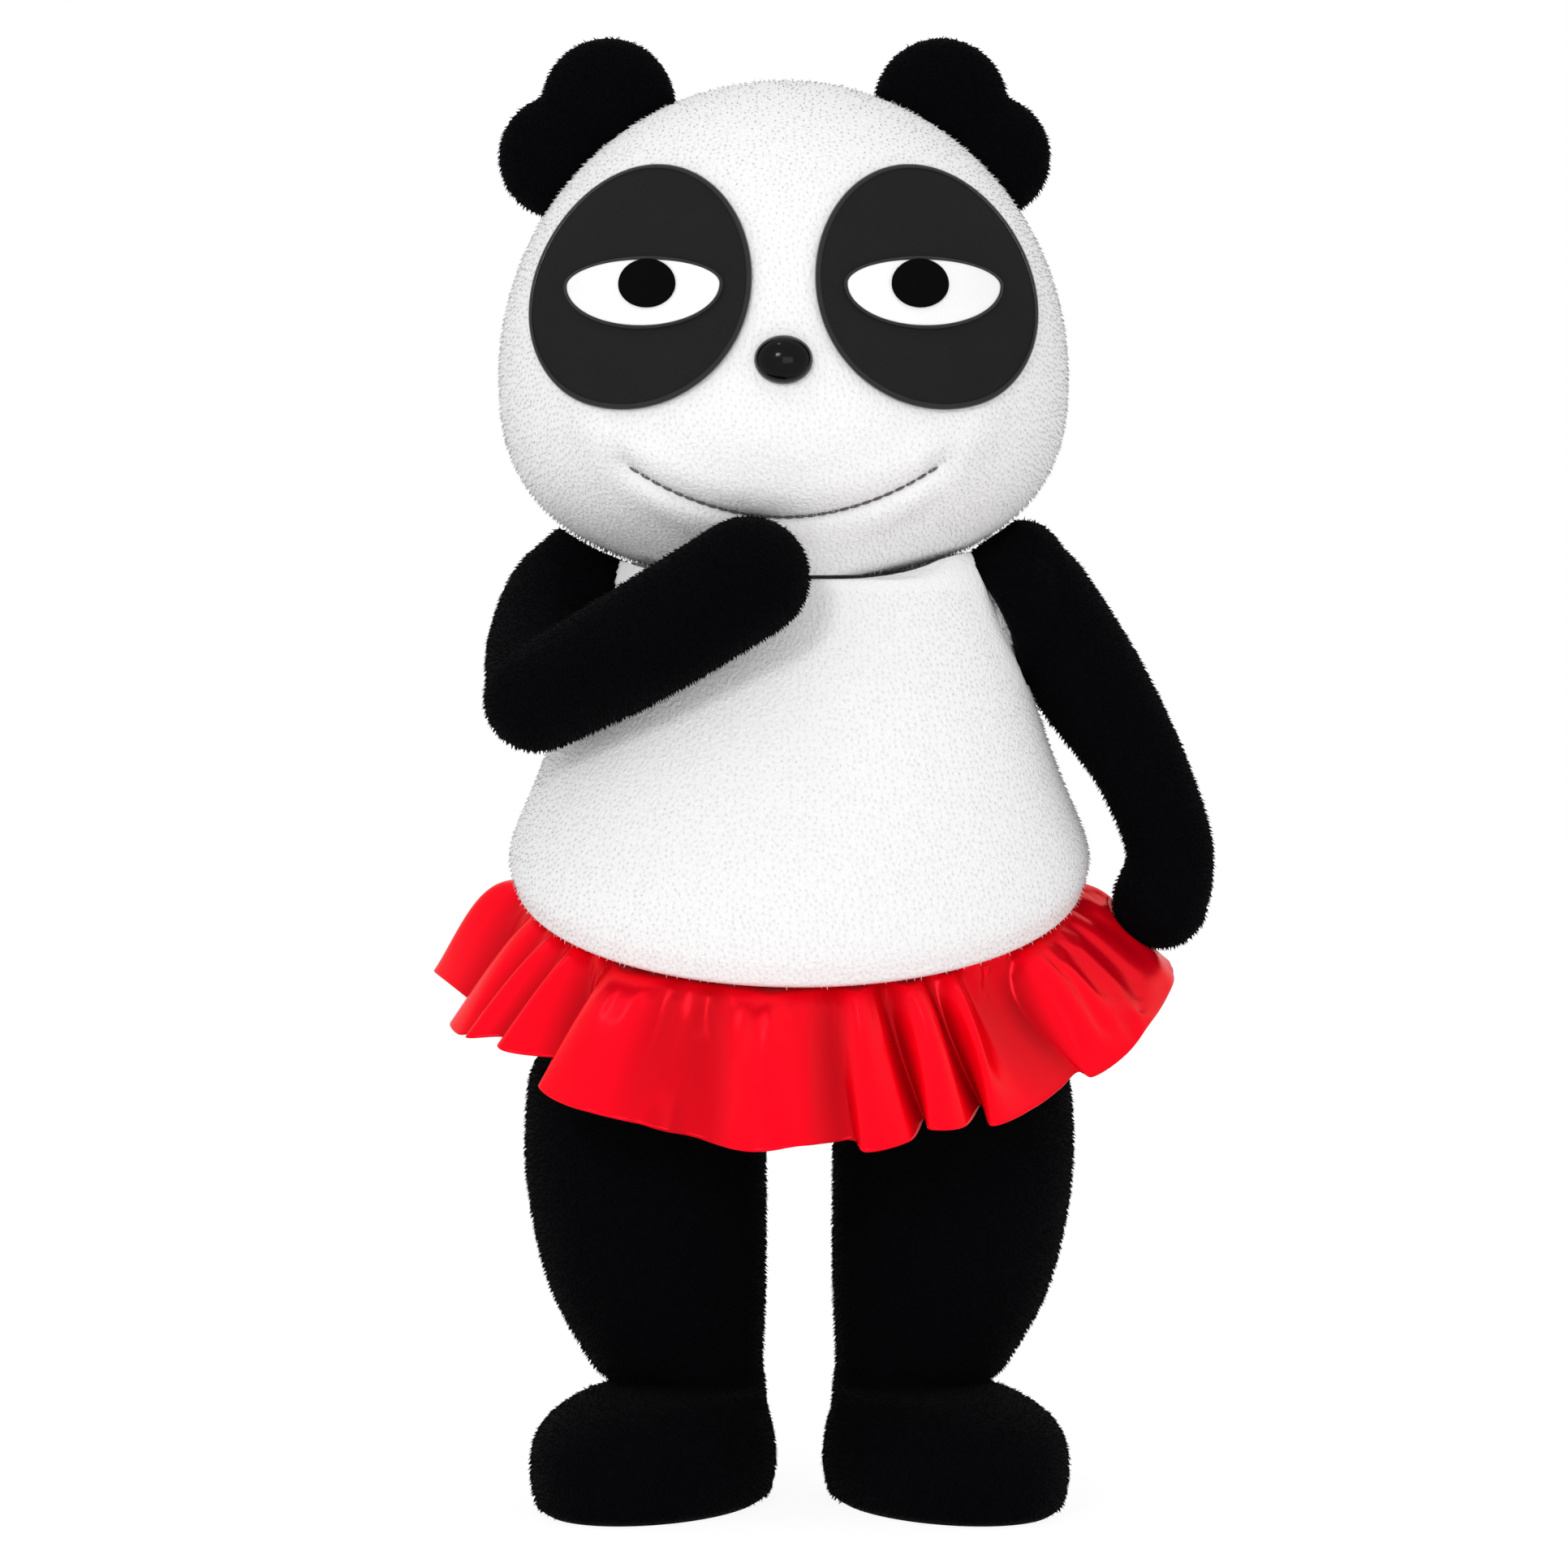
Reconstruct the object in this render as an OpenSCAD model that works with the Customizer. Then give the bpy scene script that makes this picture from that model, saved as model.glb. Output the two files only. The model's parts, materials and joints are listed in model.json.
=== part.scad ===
// Jointed plush panda in a satin skirt. Millimetres, +Z up, the face toward -Y.
// The floor is z = 0 and the origin lies midway between the soles.

/* [Head] */
// Width of the head across the cheeks
head_w = 253; // [240:1:266]
// Height of the head from chin to crown
head_h = 221; // [210:1:232]
// Depth of the head from face to back
head_d = 210; // [200:1:220]
// Height of the widest level of the cheeks above the chin
cheek_up = 90; // [84:1:98]
// Height of the flat under the chin where the neck joint sits, above the round of the chin
chin_flat = 2; // [1.5:0.5:3]
// Sideways offset of the head from the body
head_x = -7; // [-8:1:-4]

/* [Ears] */
// Radius of the upper lobe of an ear
ear_top_r = 30; // [27:1:32]
// Radius of the outer lobe of an ear
ear_side_r = 28; // [26:1:30]
// Distance of the upper lobe from the middle of the head
ear_x = 73; // [68:1:77]
// Sideways offset of both ears from the middle of the head
ear_shift = -4; // [-6:1:2]
// Depth of the upper lobe's centre below the crown
ear_drop = 8; // [4:1:14]
// Distance of the outer lobe outward from the upper lobe
lobe_out = 24; // [20:1:27]
// Distance of the outer lobe below the upper lobe
lobe_down = 23; // [19:1:26]
// Thickness of a stuffed ear
ear_t = 40; // [34:1:46]
// Distance of the ears behind the middle of the head
ear_back = 18; // [12:1:24]

/* [Face] */
// Width of an eye patch seen from the front
patch_w = 93; // [84:1:98]
// Height of an eye patch
patch_h = 103; // [94:1:108]
// Distance of an eye patch from the middle of the face
patch_x = 61; // [57:1:63]
// Height of the eye patches above the cheeks
patch_up = 36; // [32:1:40]
// Sideways lean of an eye patch toward its top
patch_lean = 6; // [0:1:9]
// Thickness of the patch felt
patch_t = 1.6; // [1.2:0.1:2]
// Width of an eye
eye_w = 66; // [58:1:72]
// Depth of the round lower edge of an eye
eye_low = 18; // [15:1:22]
// Rise of the lid line over an eye
eye_lid = 11; // [8:1:13]
// Height of the lid corners above the cheeks
eye_up = 36; // [33:1:39]
// Width of a pupil
pupil_w = 24; // [18:1:27]
// Depth of a pupil below the lid corners
pupil_low = 10; // [7:1:12]
// Thickness of the eye felt
eye_t = 1.2; // [1:0.1:1.5]
// Width of the nose
nose_w = 25; // [22:1:28]
// Height of the nose
nose_h = 21; // [18:1:24]
// Depth of the nose in front of the face
nose_d = 10; // [8:1:13]
// Height of the nose above the cheeks
nose_up = 4; // [0:1:8]
// Diameter of the nose shank
shank_d = 6; // [5:0.5:7]
// Length of the nose shank behind the cover
shank_l = 11; // [9:1:14]
// Width of the mouth stitch
mouth_w = 134; // [110:2:142]
// Depth of the middle of the mouth below the cheeks
mouth_down = 64; // [58:1:66]
// Rise of the mouth's corners above its middle
mouth_rise = 22; // [16:1:26]
// Thickness of the mouth stitch
stitch_d = 1.8; // [1.4:0.1:2.4]

/* [Torso] */
// Height of the torso from the hip plane to the neck plane
torso_h = 203; // [196:1:210]
// Width of the belly
belly_w = 256; // [246:1:264]
// Depth of the belly
belly_d = 188; // [180:1:194]
// Height of the widest part of the belly above the hip plane
belly_up = 72; // [70:1:74]
// Forward offset of the belly
belly_fwd = 6; // [3:1:8]
// Width of the torso at the waist groove
waist_w = 224; // [218:1:228]
// Depth of the torso at the waist groove
waist_d = 160; // [154:1:164]
// Height of the waist groove above the hip plane
waist_up = 57; // [55:1:58]
// Fall of the waist toward the front, per unit of depth
waist_fall = 0.45; // [0.38:0.01:0.48]
// Share of that fall that carries on behind the middle
back_share = 0.35; // [0.25:0.01:0.4]
// Width of the seat above the legs
seat_w = 214; // [206:1:220]
// Depth of the seat
seat_d = 146; // [138:1:152]
// Width of the chest below the shoulders
chest_w = 200; // [194:1:204]
// Depth of the chest
chest_d = 148; // [140:1:154]
// Width of the torso at the shoulders
shoulder_w = 182; // [176:1:188]
// Width of the neck flat
neck_w = 112; // [106:1:118]
// Depth of the neck flat
neck_d = 92; // [86:1:98]

/* [Shoulders and arms] */
// Height of the arms' shoulder ends above the hip plane
shoulder_up = 194; // [193:0.5:195]
// Distance of the arms' shoulder ends from the middle
shoulder_x = 106; // [105:0.5:108]
// Distance of the arms' shoulder ends behind the middle
shoulder_back = 6; // [4:1:8]
// Distance of an arm's shoulder end from its seat on the torso
arm_off = 17; // [16.5:0.25:17.5]
// Tilt of the right shoulder bolt above level
right_tilt = 45; // [44:1:50]
// Turn of the right shoulder bolt toward the back
right_yaw = -10; // [-14:1:-8]
// Tilt of the left shoulder bolt above level
left_tilt = 25; // [23:1:27]
// Turn of the left shoulder bolt toward the back
left_yaw = 15; // [12:1:18]
// Radius of the right arm at its shoulder end
right_top_r = 22; // [21.5:0.25:22.5]
// Radius of the left arm at its shoulder end
left_top_r = 24; // [23:0.25:24.5]
// Radius of an upper arm
arm_r = 24.5; // [23.5:0.5:25]
// Length of the left upper arm from shoulder to elbow
upper_l = 86; // [82:1:89]
// Splay of the left upper arm from the vertical
upper_splay = 31; // [29:1:33]
// Radius of the left arm at the elbow
elbow_r = 20.5; // [19:0.5:22]
// Length of the left forearm from elbow to wrist
fore_l = 40; // [36:1:43]
// Splay of the left forearm
fore_splay = 20; // [16:1:24]
// Radius of the left wrist
wrist_r = 19; // [17:0.5:20]
// Length of the left paw
paw_l = 24; // [20:1:28]
// Inward tuck of the left paw
paw_tuck = 10; // [4:1:14]
// Radius of the left paw
paw_r = 21.5; // [20:0.5:22.5]
// Fall of the right elbow below the shoulder
bend_down = 41; // [40:1:44]
// Forward reach of the right elbow
bend_fwd = 60; // [57:1:63]
// Outward reach of the right elbow
bend_out = 7; // [6:1:10]
// Radius of the right elbow
bend_r = 22.5; // [21.5:0.5:23.5]
// Radius of the right forearm
fore_r = 25.5; // [24:0.5:26.5]
// Radius of the right paw
palm_r = 26; // [24.5:0.5:26.5]
// Sideways place of the right paw from the middle of the head
palm_x = -15; // [-18:1:-10]
// Height of the right paw's centre above the neck plane
palm_up = 0; // [-3:1:2]
// Free space between the right paw and the chin
chin_gap = 7; // [6:0.5:10]

/* [Legs and feet] */
// Height of the hip plane above the floor
hip_z = 205; // [196:1:214]
// Distance of a hip bolt from the middle
hip_x = 62; // [60:1:65]
// Width of a leg at the thigh
thigh_w = 107; // [101:1:109]
// Depth of a leg at the thigh
thigh_d = 110; // [104:1:114]
// Outward offset of the thigh from the hip bolt
thigh_out = 6; // [4:1:7]
// Width of a leg at the ankle
ankle_w = 70; // [66:1:76]
// Inward offset of the ankle from the hip bolt
ankle_in = 12; // [9:1:14]
// Height of the ankle fold above the floor
ankle_z = 51; // [48:1:55]
// Length of a foot
foot_l = 148; // [140:1:152]
// Width of a foot
foot_w = 100; // [94:1:103]
// Forward offset of a foot from the hip bolt
foot_fwd = 35; // [30:1:38]
// Turn of the toes outward
toe_out = 22; // [18:1:26]

/* [Skirt] */
// Fall of the skirt from waist to hem at the front
fall_front = 38; // [32:1:44]
// Fall of the skirt from waist to hem at the sides
fall_side = 18; // [14:1:22]
// Fall of the skirt from waist to hem at the back
fall_back = 46; // [40:1:50]
// Spread of the hem beyond the waist at the sides
flare_side = 34; // [31:1:37]
// Spread of the hem beyond the waist at the front and back
flare_front = 40; // [36:1:46]
// Depth of the flutes at the hem
flute_d = 8; // [5:0.5:10]
// Number of flutes around the hem
flutes = 15; // [12:1:17]
// Thickness of the satin
satin_t = 1.2; // [1:0.1:1.6]
// Height of the waistband casing
band_h = 13; // [11:0.5:15]
// Thickness of the waistband casing
band_t = 5; // [4.5:0.25:5.5]

/* [Joints] */
// Diameter of the neck discs
neck_disc_d = 50; // [42:1:52]
// Diameter of the shoulder discs
arm_disc_d = 21; // [18:0.5:21.5]
// Diameter of the hip discs
hip_disc_d = 56; // [46:1:60]
// Thickness of a joint disc
disc_t = 3; // [2.5:0.25:3.5]
// Diameter of the joint bolts
bolt_d = 6; // [5:0.5:7]
// Height of a bolt head
bolt_head_h = 4; // [3:0.5:5]
// Height of a lock nut
nut_h = 6; // [5:0.5:7]

/* [Cover and filling] */
// Thickness of the plush cover
cover_t = 2.5; // [2:0.25:3]
// Slack between a cover and the parts it lies on
slack = 0.4; // [0.3:0.05:0.5]
// Radial clearance of a bolt in its disc
bore_gap = 0.05; // [0.03:0.01:0.08]
// Diameter of the pellet pouch in the torso
pouch_d = 110; // [96:2:116]
// Height of the pellet pouch
pouch_h = 38; // [32:1:42]
// Thickness of the sole boards
board_t = 3; // [2.5:0.25:4]

/* [Hidden] */
neck_z = hip_z + torso_h;
chin_z = neck_z + slack - chin_flat;
cheek_z = chin_z + cheek_up;
crown_up = head_h - cheek_up;
chin_power = 2.5;
patch_egg = 0.07;
shoulder_z = hip_z + shoulder_up;
room = 5 * slack;
seat_r = arm_r * 1.63;
stub_r = arm_disc_d / 2 + cover_t * 1.6;
stub_l = arm_r;
free_turn = room;
groove_low = waist_up - band_h / 2 - room / 2;
groove_high = waist_up + band_h / 2 + room / 2;
nut_w = bolt_d * 1.83;
flange_w = nut_w * 1.27;
bolt_head_d = bolt_d * 2;
bolt_tail = nut_h / 3;
through = 1;
polygon_sides = 12;
round_up = 1 / cos(180 / polygon_sides);
torso_sides = 28;
torso_rings = 18;
lining_rings = 9;
head_sides = 28;
arm_sides = 12;
leg_sides = 20;
lining_sides = 16;
thin_sides = 10;
hem_points = 90;
band_points = 40;
$fn = 48;

// Curves through rows of numbers

function unit(v) = v / norm(v);
function row(table, k) = table[min(max(k, 0), len(table) - 1)];
function between(a, b, c, d, t) =
    0.5 * (2 * b + (c - a) * t + (2 * a - 5 * b + 4 * c - d) * t * t + (3 * b - a - 3 * c + d) * t * t * t);
// The row at place u along a table, smooth through every row
function along(table, u) =
    let (k = min(floor(u), len(table) - 2), t = u - k)
    between(row(table, k - 1), row(table, k), row(table, k + 1), row(table, k + 2), t);

// A closed solid through rings that have the same number of points
module loft(rings) {
    n = len(rings[0]);
    m = len(rings);
    points = [for (r = rings) each r];
    sides = [for (j = [0:m - 2], i = [0:n - 1])
        let (a = j * n + i, b = j * n + (i + 1) % n)
        each [[a, a + n, b + n], [a, b + n, b]]];
    first = [for (i = [1:n - 2]) [0, i, i + 1]];
    last = [for (i = [1:n - 2]) [(m - 1) * n, (m - 1) * n + i + 1, (m - 1) * n + i]];
    polyhedron(points, concat(sides, first, last), convexity = 6);
}

// A stuffed limb along a centre line: rows of x, y, z and radius, with round ends
module limb(rows, up, grow, sides, steps) {
    last = len(rows) - 1;
    inner = [for (j = [0:steps]) along(rows, last * j / steps)];
    spot = [for (q = inner) [q[0], q[1], q[2]]];
    way = [for (j = [0:steps]) unit(spot[min(j + 1, steps)] - spot[max(j - 1, 0)])];
    ends = [72, 45, 20];
    function hoop(centre, dir, r) =
        let (u = unit(cross(up, dir)), v = cross(dir, u))
        [for (i = [0:sides - 1]) centre + r * (cos(360 * i / sides) * u + sin(360 * i / sides) * v)];
    r0 = inner[0][3] + grow;
    r1 = inner[steps][3] + grow;
    loft([
        for (e = ends) hoop(spot[0] - way[0] * r0 * sin(e), way[0], r0 * cos(e)),
        for (j = [0:steps]) hoop(spot[j], way[j], inner[j][3] + grow),
        for (e = [2:-1:0])
            hoop(spot[steps] + way[steps] * r1 * sin(ends[e]), way[steps], r1 * cos(ends[e]))]);
}

// Head

function head_share(z, grow) =
    let (h = (z - cheek_z) / (z > cheek_z ? crown_up + grow : cheek_up + grow))
    z > cheek_z ? sqrt(max(1 - h * h, 0)) : pow(max(1 - pow(-h, chin_power), 0), 1 / chin_power);
// Distance of the face in front of the middle of the head
function face_y(x, z, grow) =
    let (s = head_share(z, grow), q = x / ((head_w / 2 + grow) * s))
    (head_d / 2 + grow) * s * sqrt(max(1 - q * q, 0));
module head_form(grow, base, sides, steps) {
    low = asin(pow((cheek_z - base) / (cheek_up + grow), chin_power / 2));
    levels = [
        for (j = [0:steps - 1])
            cheek_z - (cheek_up + grow) * pow(sin(low * (1 - j / steps)), 2 / chin_power),
        for (j = [0:steps]) cheek_z + (crown_up + grow) * sin(84 * j / steps)];
    loft([for (z = levels) let (s = head_share(z, grow))
        [for (i = [0:sides - 1]) [
            head_x + (head_w / 2 + grow) * s * cos(360 * i / sides),
            (head_d / 2 + grow) * s * sin(360 * i / sides), z]]]);
}
module head_cover() {
    color([0.97, 0.97, 0.96]) difference() {
        head_form(0, neck_z + slack, head_sides, 6);
        head_form(-cover_t, neck_z + slack + cover_t, lining_sides + 4, 4);
        at_neck() cover_hole();
        translate([head_x, -head_d * 0.36, nose_z]) rotate([90, 0, 0])
            cylinder(h = head_d * 0.28, d = (shank_d + 2 * slack) * round_up, $fn = polygon_sides);
    }
}
module head_filling() {
    color([0.98, 0.97, 0.93]) difference() {
        head_form(-cover_t - slack, neck_z + 2 * slack + cover_t, lining_sides + 4, 4);
        at_neck() limb_room(neck_disc_d);
        nose_room();
    }
}
ear_z = chin_z + head_h - ear_drop;
lobes = [[-lobe_out / 2, lobe_down / 2, ear_top_r], [lobe_out / 2, -lobe_down / 2, ear_side_r]];
function reach(lobe, u) =
    let (b = lobe[0] * u[0] + lobe[1] * u[1], c = lobe[0] * lobe[0] + lobe[1] * lobe[1])
    b + sqrt(max(lobe[2] * lobe[2] - c + b * b, 0));
module ear(side) {
    rim = [for (i = [0:27]) let (u = [cos(360 * i / 28), sin(360 * i / 28)])
        u * max(reach(lobes[0], u), reach(lobes[1], u))];
    difference() {
        translate([head_x + ear_shift + side * (ear_x + lobe_out / 2), ear_back, ear_z - lobe_down / 2])
            mirror([side < 0 ? 1 : 0, 0, 0])
            loft([for (b = [78, 52, 18, -18, -52, -78])
                [for (p = rim) [p[0] * pow(cos(b), 0.7), ear_t / 2 * sin(b), p[1] * pow(cos(b), 0.7)]]]);
        head_form(slack, neck_z, head_sides, 6);
    }
}
module right_ear() { color([0.05, 0.05, 0.06]) ear(-1); }
module left_ear() { color([0.05, 0.05, 0.06]) ear(1); }

// Face

// A felt shape that follows the face: outline points about a middle, between two distances from the head
module applique(middle, outline, steps, low, high) {
    function spot(p, share, grow) =
        let (x = middle[0] + p[0] * share, z = middle[1] + p[1] * share)
        [head_x + x, -face_y(x, z, grow), z];
    shares = [for (k = [0:steps]) max(k / steps, 0.04)];
    loft([
        for (k = [0:steps]) [for (p = outline) spot(p, shares[k], low)],
        for (k = [steps:-1:0]) [for (p = outline) spot(p, shares[k], high)]]);
}
patch_low = 2 * slack;
patch_high = patch_low + patch_t;
eye_low_at = patch_high + slack;
eye_high_at = eye_low_at + eye_t;
pupil_low_at = eye_high_at + slack;
eye_x = patch_x - eye_w * 0.03;
pupil_x = patch_x - eye_w * 0.06;
function patch_outline(side) = [for (i = [0:27]) let (a = side * 360 * i / 28)
    [patch_w / 2 * cos(a) * (1 - patch_egg * sin(a)) - side * patch_lean * sin(a), patch_h / 2 * sin(a)]];
function moon(side, w, lid, low, n) = [for (i = [0:n - 1]) let (a = side * 360 * (i + 0.5) / n)
    [w / 2 * cos(a), (sin(a) > 0 ? lid : low) * sin(a)]];
module eye_patch(side) {
    applique([side * patch_x, cheek_z + patch_up], patch_outline(1), 5, patch_low, patch_high);
}
module eye_white(side) {
    applique([side * eye_x, cheek_z + eye_up], moon(1, eye_w, eye_lid, eye_low, 20), 4,
        eye_low_at, eye_high_at);
}
module pupil(side) {
    applique([side * pupil_x, cheek_z + eye_up], moon(1, pupil_w, eye_lid, pupil_low, 16), 2,
        pupil_low_at, pupil_low_at + eye_t);
}
module right_eye_patch() { color([0.16, 0.16, 0.17]) eye_patch(-1); }
module left_eye_patch() { color([0.16, 0.16, 0.17]) eye_patch(1); }
module right_eye_white() { color([0.95, 0.95, 0.95]) eye_white(-1); }
module left_eye_white() { color([0.95, 0.95, 0.95]) eye_white(1); }
module right_pupil() { color([0.02, 0.02, 0.02]) pupil(-1); }
module left_pupil() { color([0.02, 0.02, 0.02]) pupil(1); }

nose_z = cheek_z + nose_up;
nose_y = -face_y(0, nose_z, slack);
nose_edge = nose_d / 10;
washer_d = shank_d * 3;
washer_t = shank_d / 3;
washer_y = nose_y + slack + 2 * cover_t;
function nose_ring(share, z) =
    [for (a = [0:15:345]) [share * nose_w / 2 * cos(a), share * nose_h / 2 * sin(a), z]];
module nose() {
    color([0.02, 0.02, 0.02]) {
        translate([head_x, nose_y, nose_z]) rotate([90, 0, 0]) loft([
            nose_ring(0.92, 0),
            for (a = [0, 18, 36, 54, 72, 86]) nose_ring(cos(a), nose_edge + (nose_d - nose_edge) * sin(a))]);
        translate([head_x, nose_y + cover_t + shank_l, nose_z]) rotate([90, 0, 0])
            cylinder(h = cover_t + shank_l, d = shank_d);
    }
}
module nose_washer() {
    place = [head_x, washer_y + washer_t, nose_z];
    color([0.85, 0.85, 0.83]) translate(place) rotate([90, 0, 0]) difference() {
        cylinder(h = washer_t, d = washer_d);
        translate([0, 0, -through]) cylinder(h = washer_t + 2 * through, d = shank_d + 2 * bore_gap);
    }
}
module nose_room() {
    translate([head_x, washer_y + washer_t + room / 2, nose_z]) rotate([90, 0, 0])
        cylinder(h = 4 * washer_t + cover_t, d = (washer_d + room) * round_up, $fn = polygon_sides);
    translate([head_x, nose_y + cover_t + shank_l + room / 2, nose_z]) rotate([90, 0, 0])
        cylinder(h = shank_l, d = (shank_d + room) * round_up, $fn = polygon_sides);
}
module mouth_stitch() {
    lift = slack + stitch_d / 2;
    rows = [for (i = [-12:12]) let (
        x = mouth_w / 2 * i / 12, z = cheek_z - mouth_down + mouth_rise * i * i / 144)
        [head_x + x, -face_y(x, z, lift), z, stitch_d / 2]];
    color([0.35, 0.35, 0.37]) limb(rows, [0, 0, 1], 0, 6, 24);
}

// Torso: rows of height, half width, half depth, forward offset and fall
torso_rows = [
    [0, seat_w / 2, seat_d / 2, 0, 0],
    [groove_low * 0.6, seat_w * 0.27 + waist_w * 0.25, seat_d * 0.27 + waist_d * 0.25,
        belly_fwd / 3, waist_fall * 0.6],
    [groove_low, waist_w / 2, waist_d / 2, belly_fwd * 0.7, waist_fall],
    [groove_high, waist_w / 2, waist_d / 2, belly_fwd * 0.7, waist_fall],
    [groove_high + band_h * 0.38, belly_w * 0.482, belly_d * 0.475, belly_fwd, waist_fall],
    [belly_up + band_h * 0.31, belly_w / 2, belly_d / 2, belly_fwd, waist_fall * 0.9],
    [belly_up + (torso_h - belly_up) * 0.38, belly_w * 0.44, belly_d * 0.452,
        belly_fwd * 0.8, waist_fall * 0.5],
    [belly_up + (torso_h - belly_up) * 0.7, chest_w / 2, chest_d / 2, belly_fwd * 0.4, waist_fall * 0.15],
    [belly_up + (torso_h - belly_up) * 0.92, shoulder_w / 2, neck_d * 0.3 + chest_d * 0.25, 0, 0],
    [torso_h, neck_w / 2, neck_d / 2, 0, 0]];
// Height that the waist falls by: full in front of the middle and slight behind it
function dip(y) = y < 0 ? y : back_share * y;
function torso_ring(q, grow, sides) =
    let (z = hip_z - grow + q[0] * (torso_h + 2 * grow) / torso_h)
    [for (i = [0:sides - 1]) let (y = (q[2] + grow) * sin(360 * i / sides))
        [(q[1] + grow) * cos(360 * i / sides), y - q[3], z + q[4] * dip(y)]];
module torso_form(grow, sides, steps) {
    last = len(torso_rows) - 1;
    loft([for (j = [0:steps]) torso_ring(along(torso_rows, last * j / steps), grow, sides)]);
}
// The torso with a short round stub under each arm, cut off flat at the shoulder seat
module torso_body(grow, ease, sides, steps) {
    difference() {
        union() {
            torso_form(grow + ease, sides, steps);
            for (side = [-1, 1]) at_shoulder(side) translate([0, 0, -stub_l])
                cylinder(h = stub_l + 2 * cover_t + slack, r = (stub_r + grow + ease) * round_up,
                    $fn = polygon_sides);
        }
        for (side = [-1, 1])
            at_shoulder(side) translate([0, 0, grow - slack / 2])
                cylinder(h = seat_r, r = seat_r - grow, $fn = polygon_sides);
    }
}
module torso_cover() {
    color([0.97, 0.97, 0.96]) difference() {
        torso_body(0, 0, torso_sides, torso_rings);
        torso_body(-cover_t, 0, lining_sides + 4, lining_rings);
        for (side = [-1, 1]) {
            at_shoulder(side) cover_hole();
            at_hip(side) cover_hole();
        }
        at_neck() cover_hole();
    }
}
module torso_filling() {
    color([0.98, 0.97, 0.93]) difference() {
        torso_body(-cover_t - slack, 0, lining_sides + 4, lining_rings);
        for (side = [-1, 1]) {
            at_shoulder(side) body_room(arm_disc_d);
            at_hip(side) body_room(hip_disc_d);
        }
        at_neck() body_room(neck_disc_d);
        translate([0, 0, pouch_z]) pouch_form(slack, polygon_sides * 2);
    }
}
pouch_z = hip_z + cover_t + disc_t + nut_h + bolt_tail + pouch_h / 2 + nut_h;
module pouch_form(grow, sides) {
    r = pouch_h / 2 + grow;
    core = pouch_d / 2 - pouch_h / 2;
    rotate_extrude($fn = sides)
        polygon([[0, -r], [core, -r],
            for (a = [-60:30:60]) [core + r * cos(a), r * sin(a)], [core, r], [0, r]]);
}
module pellet_pouch() {
    color([0.9, 0.88, 0.82]) translate([0, 0, pouch_z]) pouch_form(0, polygon_sides * 2);
}

// Joint places: the origin of each is midway between the two covers, +Z toward the limb

module at_neck() { translate([head_x, 0, neck_z + slack / 2]) children(); }
function seat_tilt(side) = side < 0 ? right_tilt : left_tilt;
function seat_turn(side) = side < 0 ? 180 - right_yaw : left_yaw;
function seat_dir(side) =
    let (t = seat_tilt(side), y = seat_turn(side)) [cos(t) * cos(y), cos(t) * sin(y), sin(t)];
function shoulder(side) = [side * shoulder_x, shoulder_back, shoulder_z];
module at_shoulder(side) {
    translate(shoulder(side) - arm_off * seat_dir(side))
        rotate([0, 90 - seat_tilt(side), seat_turn(side)]) children();
}
module at_hip(side) { translate([side * hip_x, 0, hip_z - slack / 2]) rotate([180, 0, 0]) children(); }
disc_at = slack / 2 + cover_t + slack / 4;
module cover_hole() {
    translate([0, 0, -2 * cover_t])
        cylinder(h = 4 * cover_t, d = (bolt_d + 2 * slack) * round_up, $fn = polygon_sides);
}
module disc(d) {
    difference() {
        cylinder(h = disc_t, d = d);
        translate([0, 0, -through]) cylinder(h = disc_t + 2 * through, d = bolt_d + 2 * bore_gap);
    }
}
module limb_disc(d) { color([0.8, 0.72, 0.58]) translate([0, 0, disc_at]) disc(d); }
module body_disc(d) { color([0.8, 0.72, 0.58]) translate([0, 0, -disc_at - disc_t]) disc(d); }
module bolt() {
    tail = disc_at + disc_t + nut_h + bolt_tail;
    color([0.7, 0.71, 0.73]) {
        translate([0, 0, -tail]) cylinder(h = tail + disc_at + disc_t, d = bolt_d);
        translate([0, 0, disc_at + disc_t]) cylinder(h = bolt_head_h, d = bolt_head_d);
    }
}
module nut() {
    color([0.62, 0.63, 0.65]) translate([0, 0, -disc_at - disc_t - nut_h]) difference() {
        union() {
            cylinder(h = nut_h, d = nut_w, $fn = 6);
            translate([0, 0, nut_h * 0.75]) cylinder(h = nut_h / 4, d = flange_w);
        }
        translate([0, 0, -through]) cylinder(h = nut_h + 2 * through, d = bolt_d + 2 * bore_gap);
    }
}
module limb_room(d) {
    depth = disc_at + disc_t + bolt_head_h + slack;
    cylinder(h = disc_at + disc_t + slack, d = (d + room) * round_up, $fn = polygon_sides);
    cylinder(h = depth, d = (bolt_head_d + room) * round_up, $fn = polygon_sides);
}
module body_room(d) {
    depth = disc_at + disc_t + nut_h + bolt_tail + slack;
    mirror([0, 0, 1]) {
        cylinder(h = disc_at + disc_t + slack, d = (d + room) * round_up, $fn = polygon_sides);
        cylinder(h = depth, d = (flange_w + room) * round_up, $fn = polygon_sides);
    }
}
module neck_head_disc() { at_neck() limb_disc(neck_disc_d); }
module neck_body_disc() { at_neck() body_disc(neck_disc_d); }
module neck_bolt() { at_neck() bolt(); }
module neck_nut() { at_neck() nut(); }
module right_arm_disc() { at_shoulder(-1) limb_disc(arm_disc_d); }
module right_shoulder_disc() { at_shoulder(-1) body_disc(arm_disc_d); }
module right_shoulder_bolt() { at_shoulder(-1) bolt(); }
module right_shoulder_nut() { at_shoulder(-1) nut(); }
module left_arm_disc() { at_shoulder(1) limb_disc(arm_disc_d); }
module left_shoulder_disc() { at_shoulder(1) body_disc(arm_disc_d); }
module left_shoulder_bolt() { at_shoulder(1) bolt(); }
module left_shoulder_nut() { at_shoulder(1) nut(); }
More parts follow.
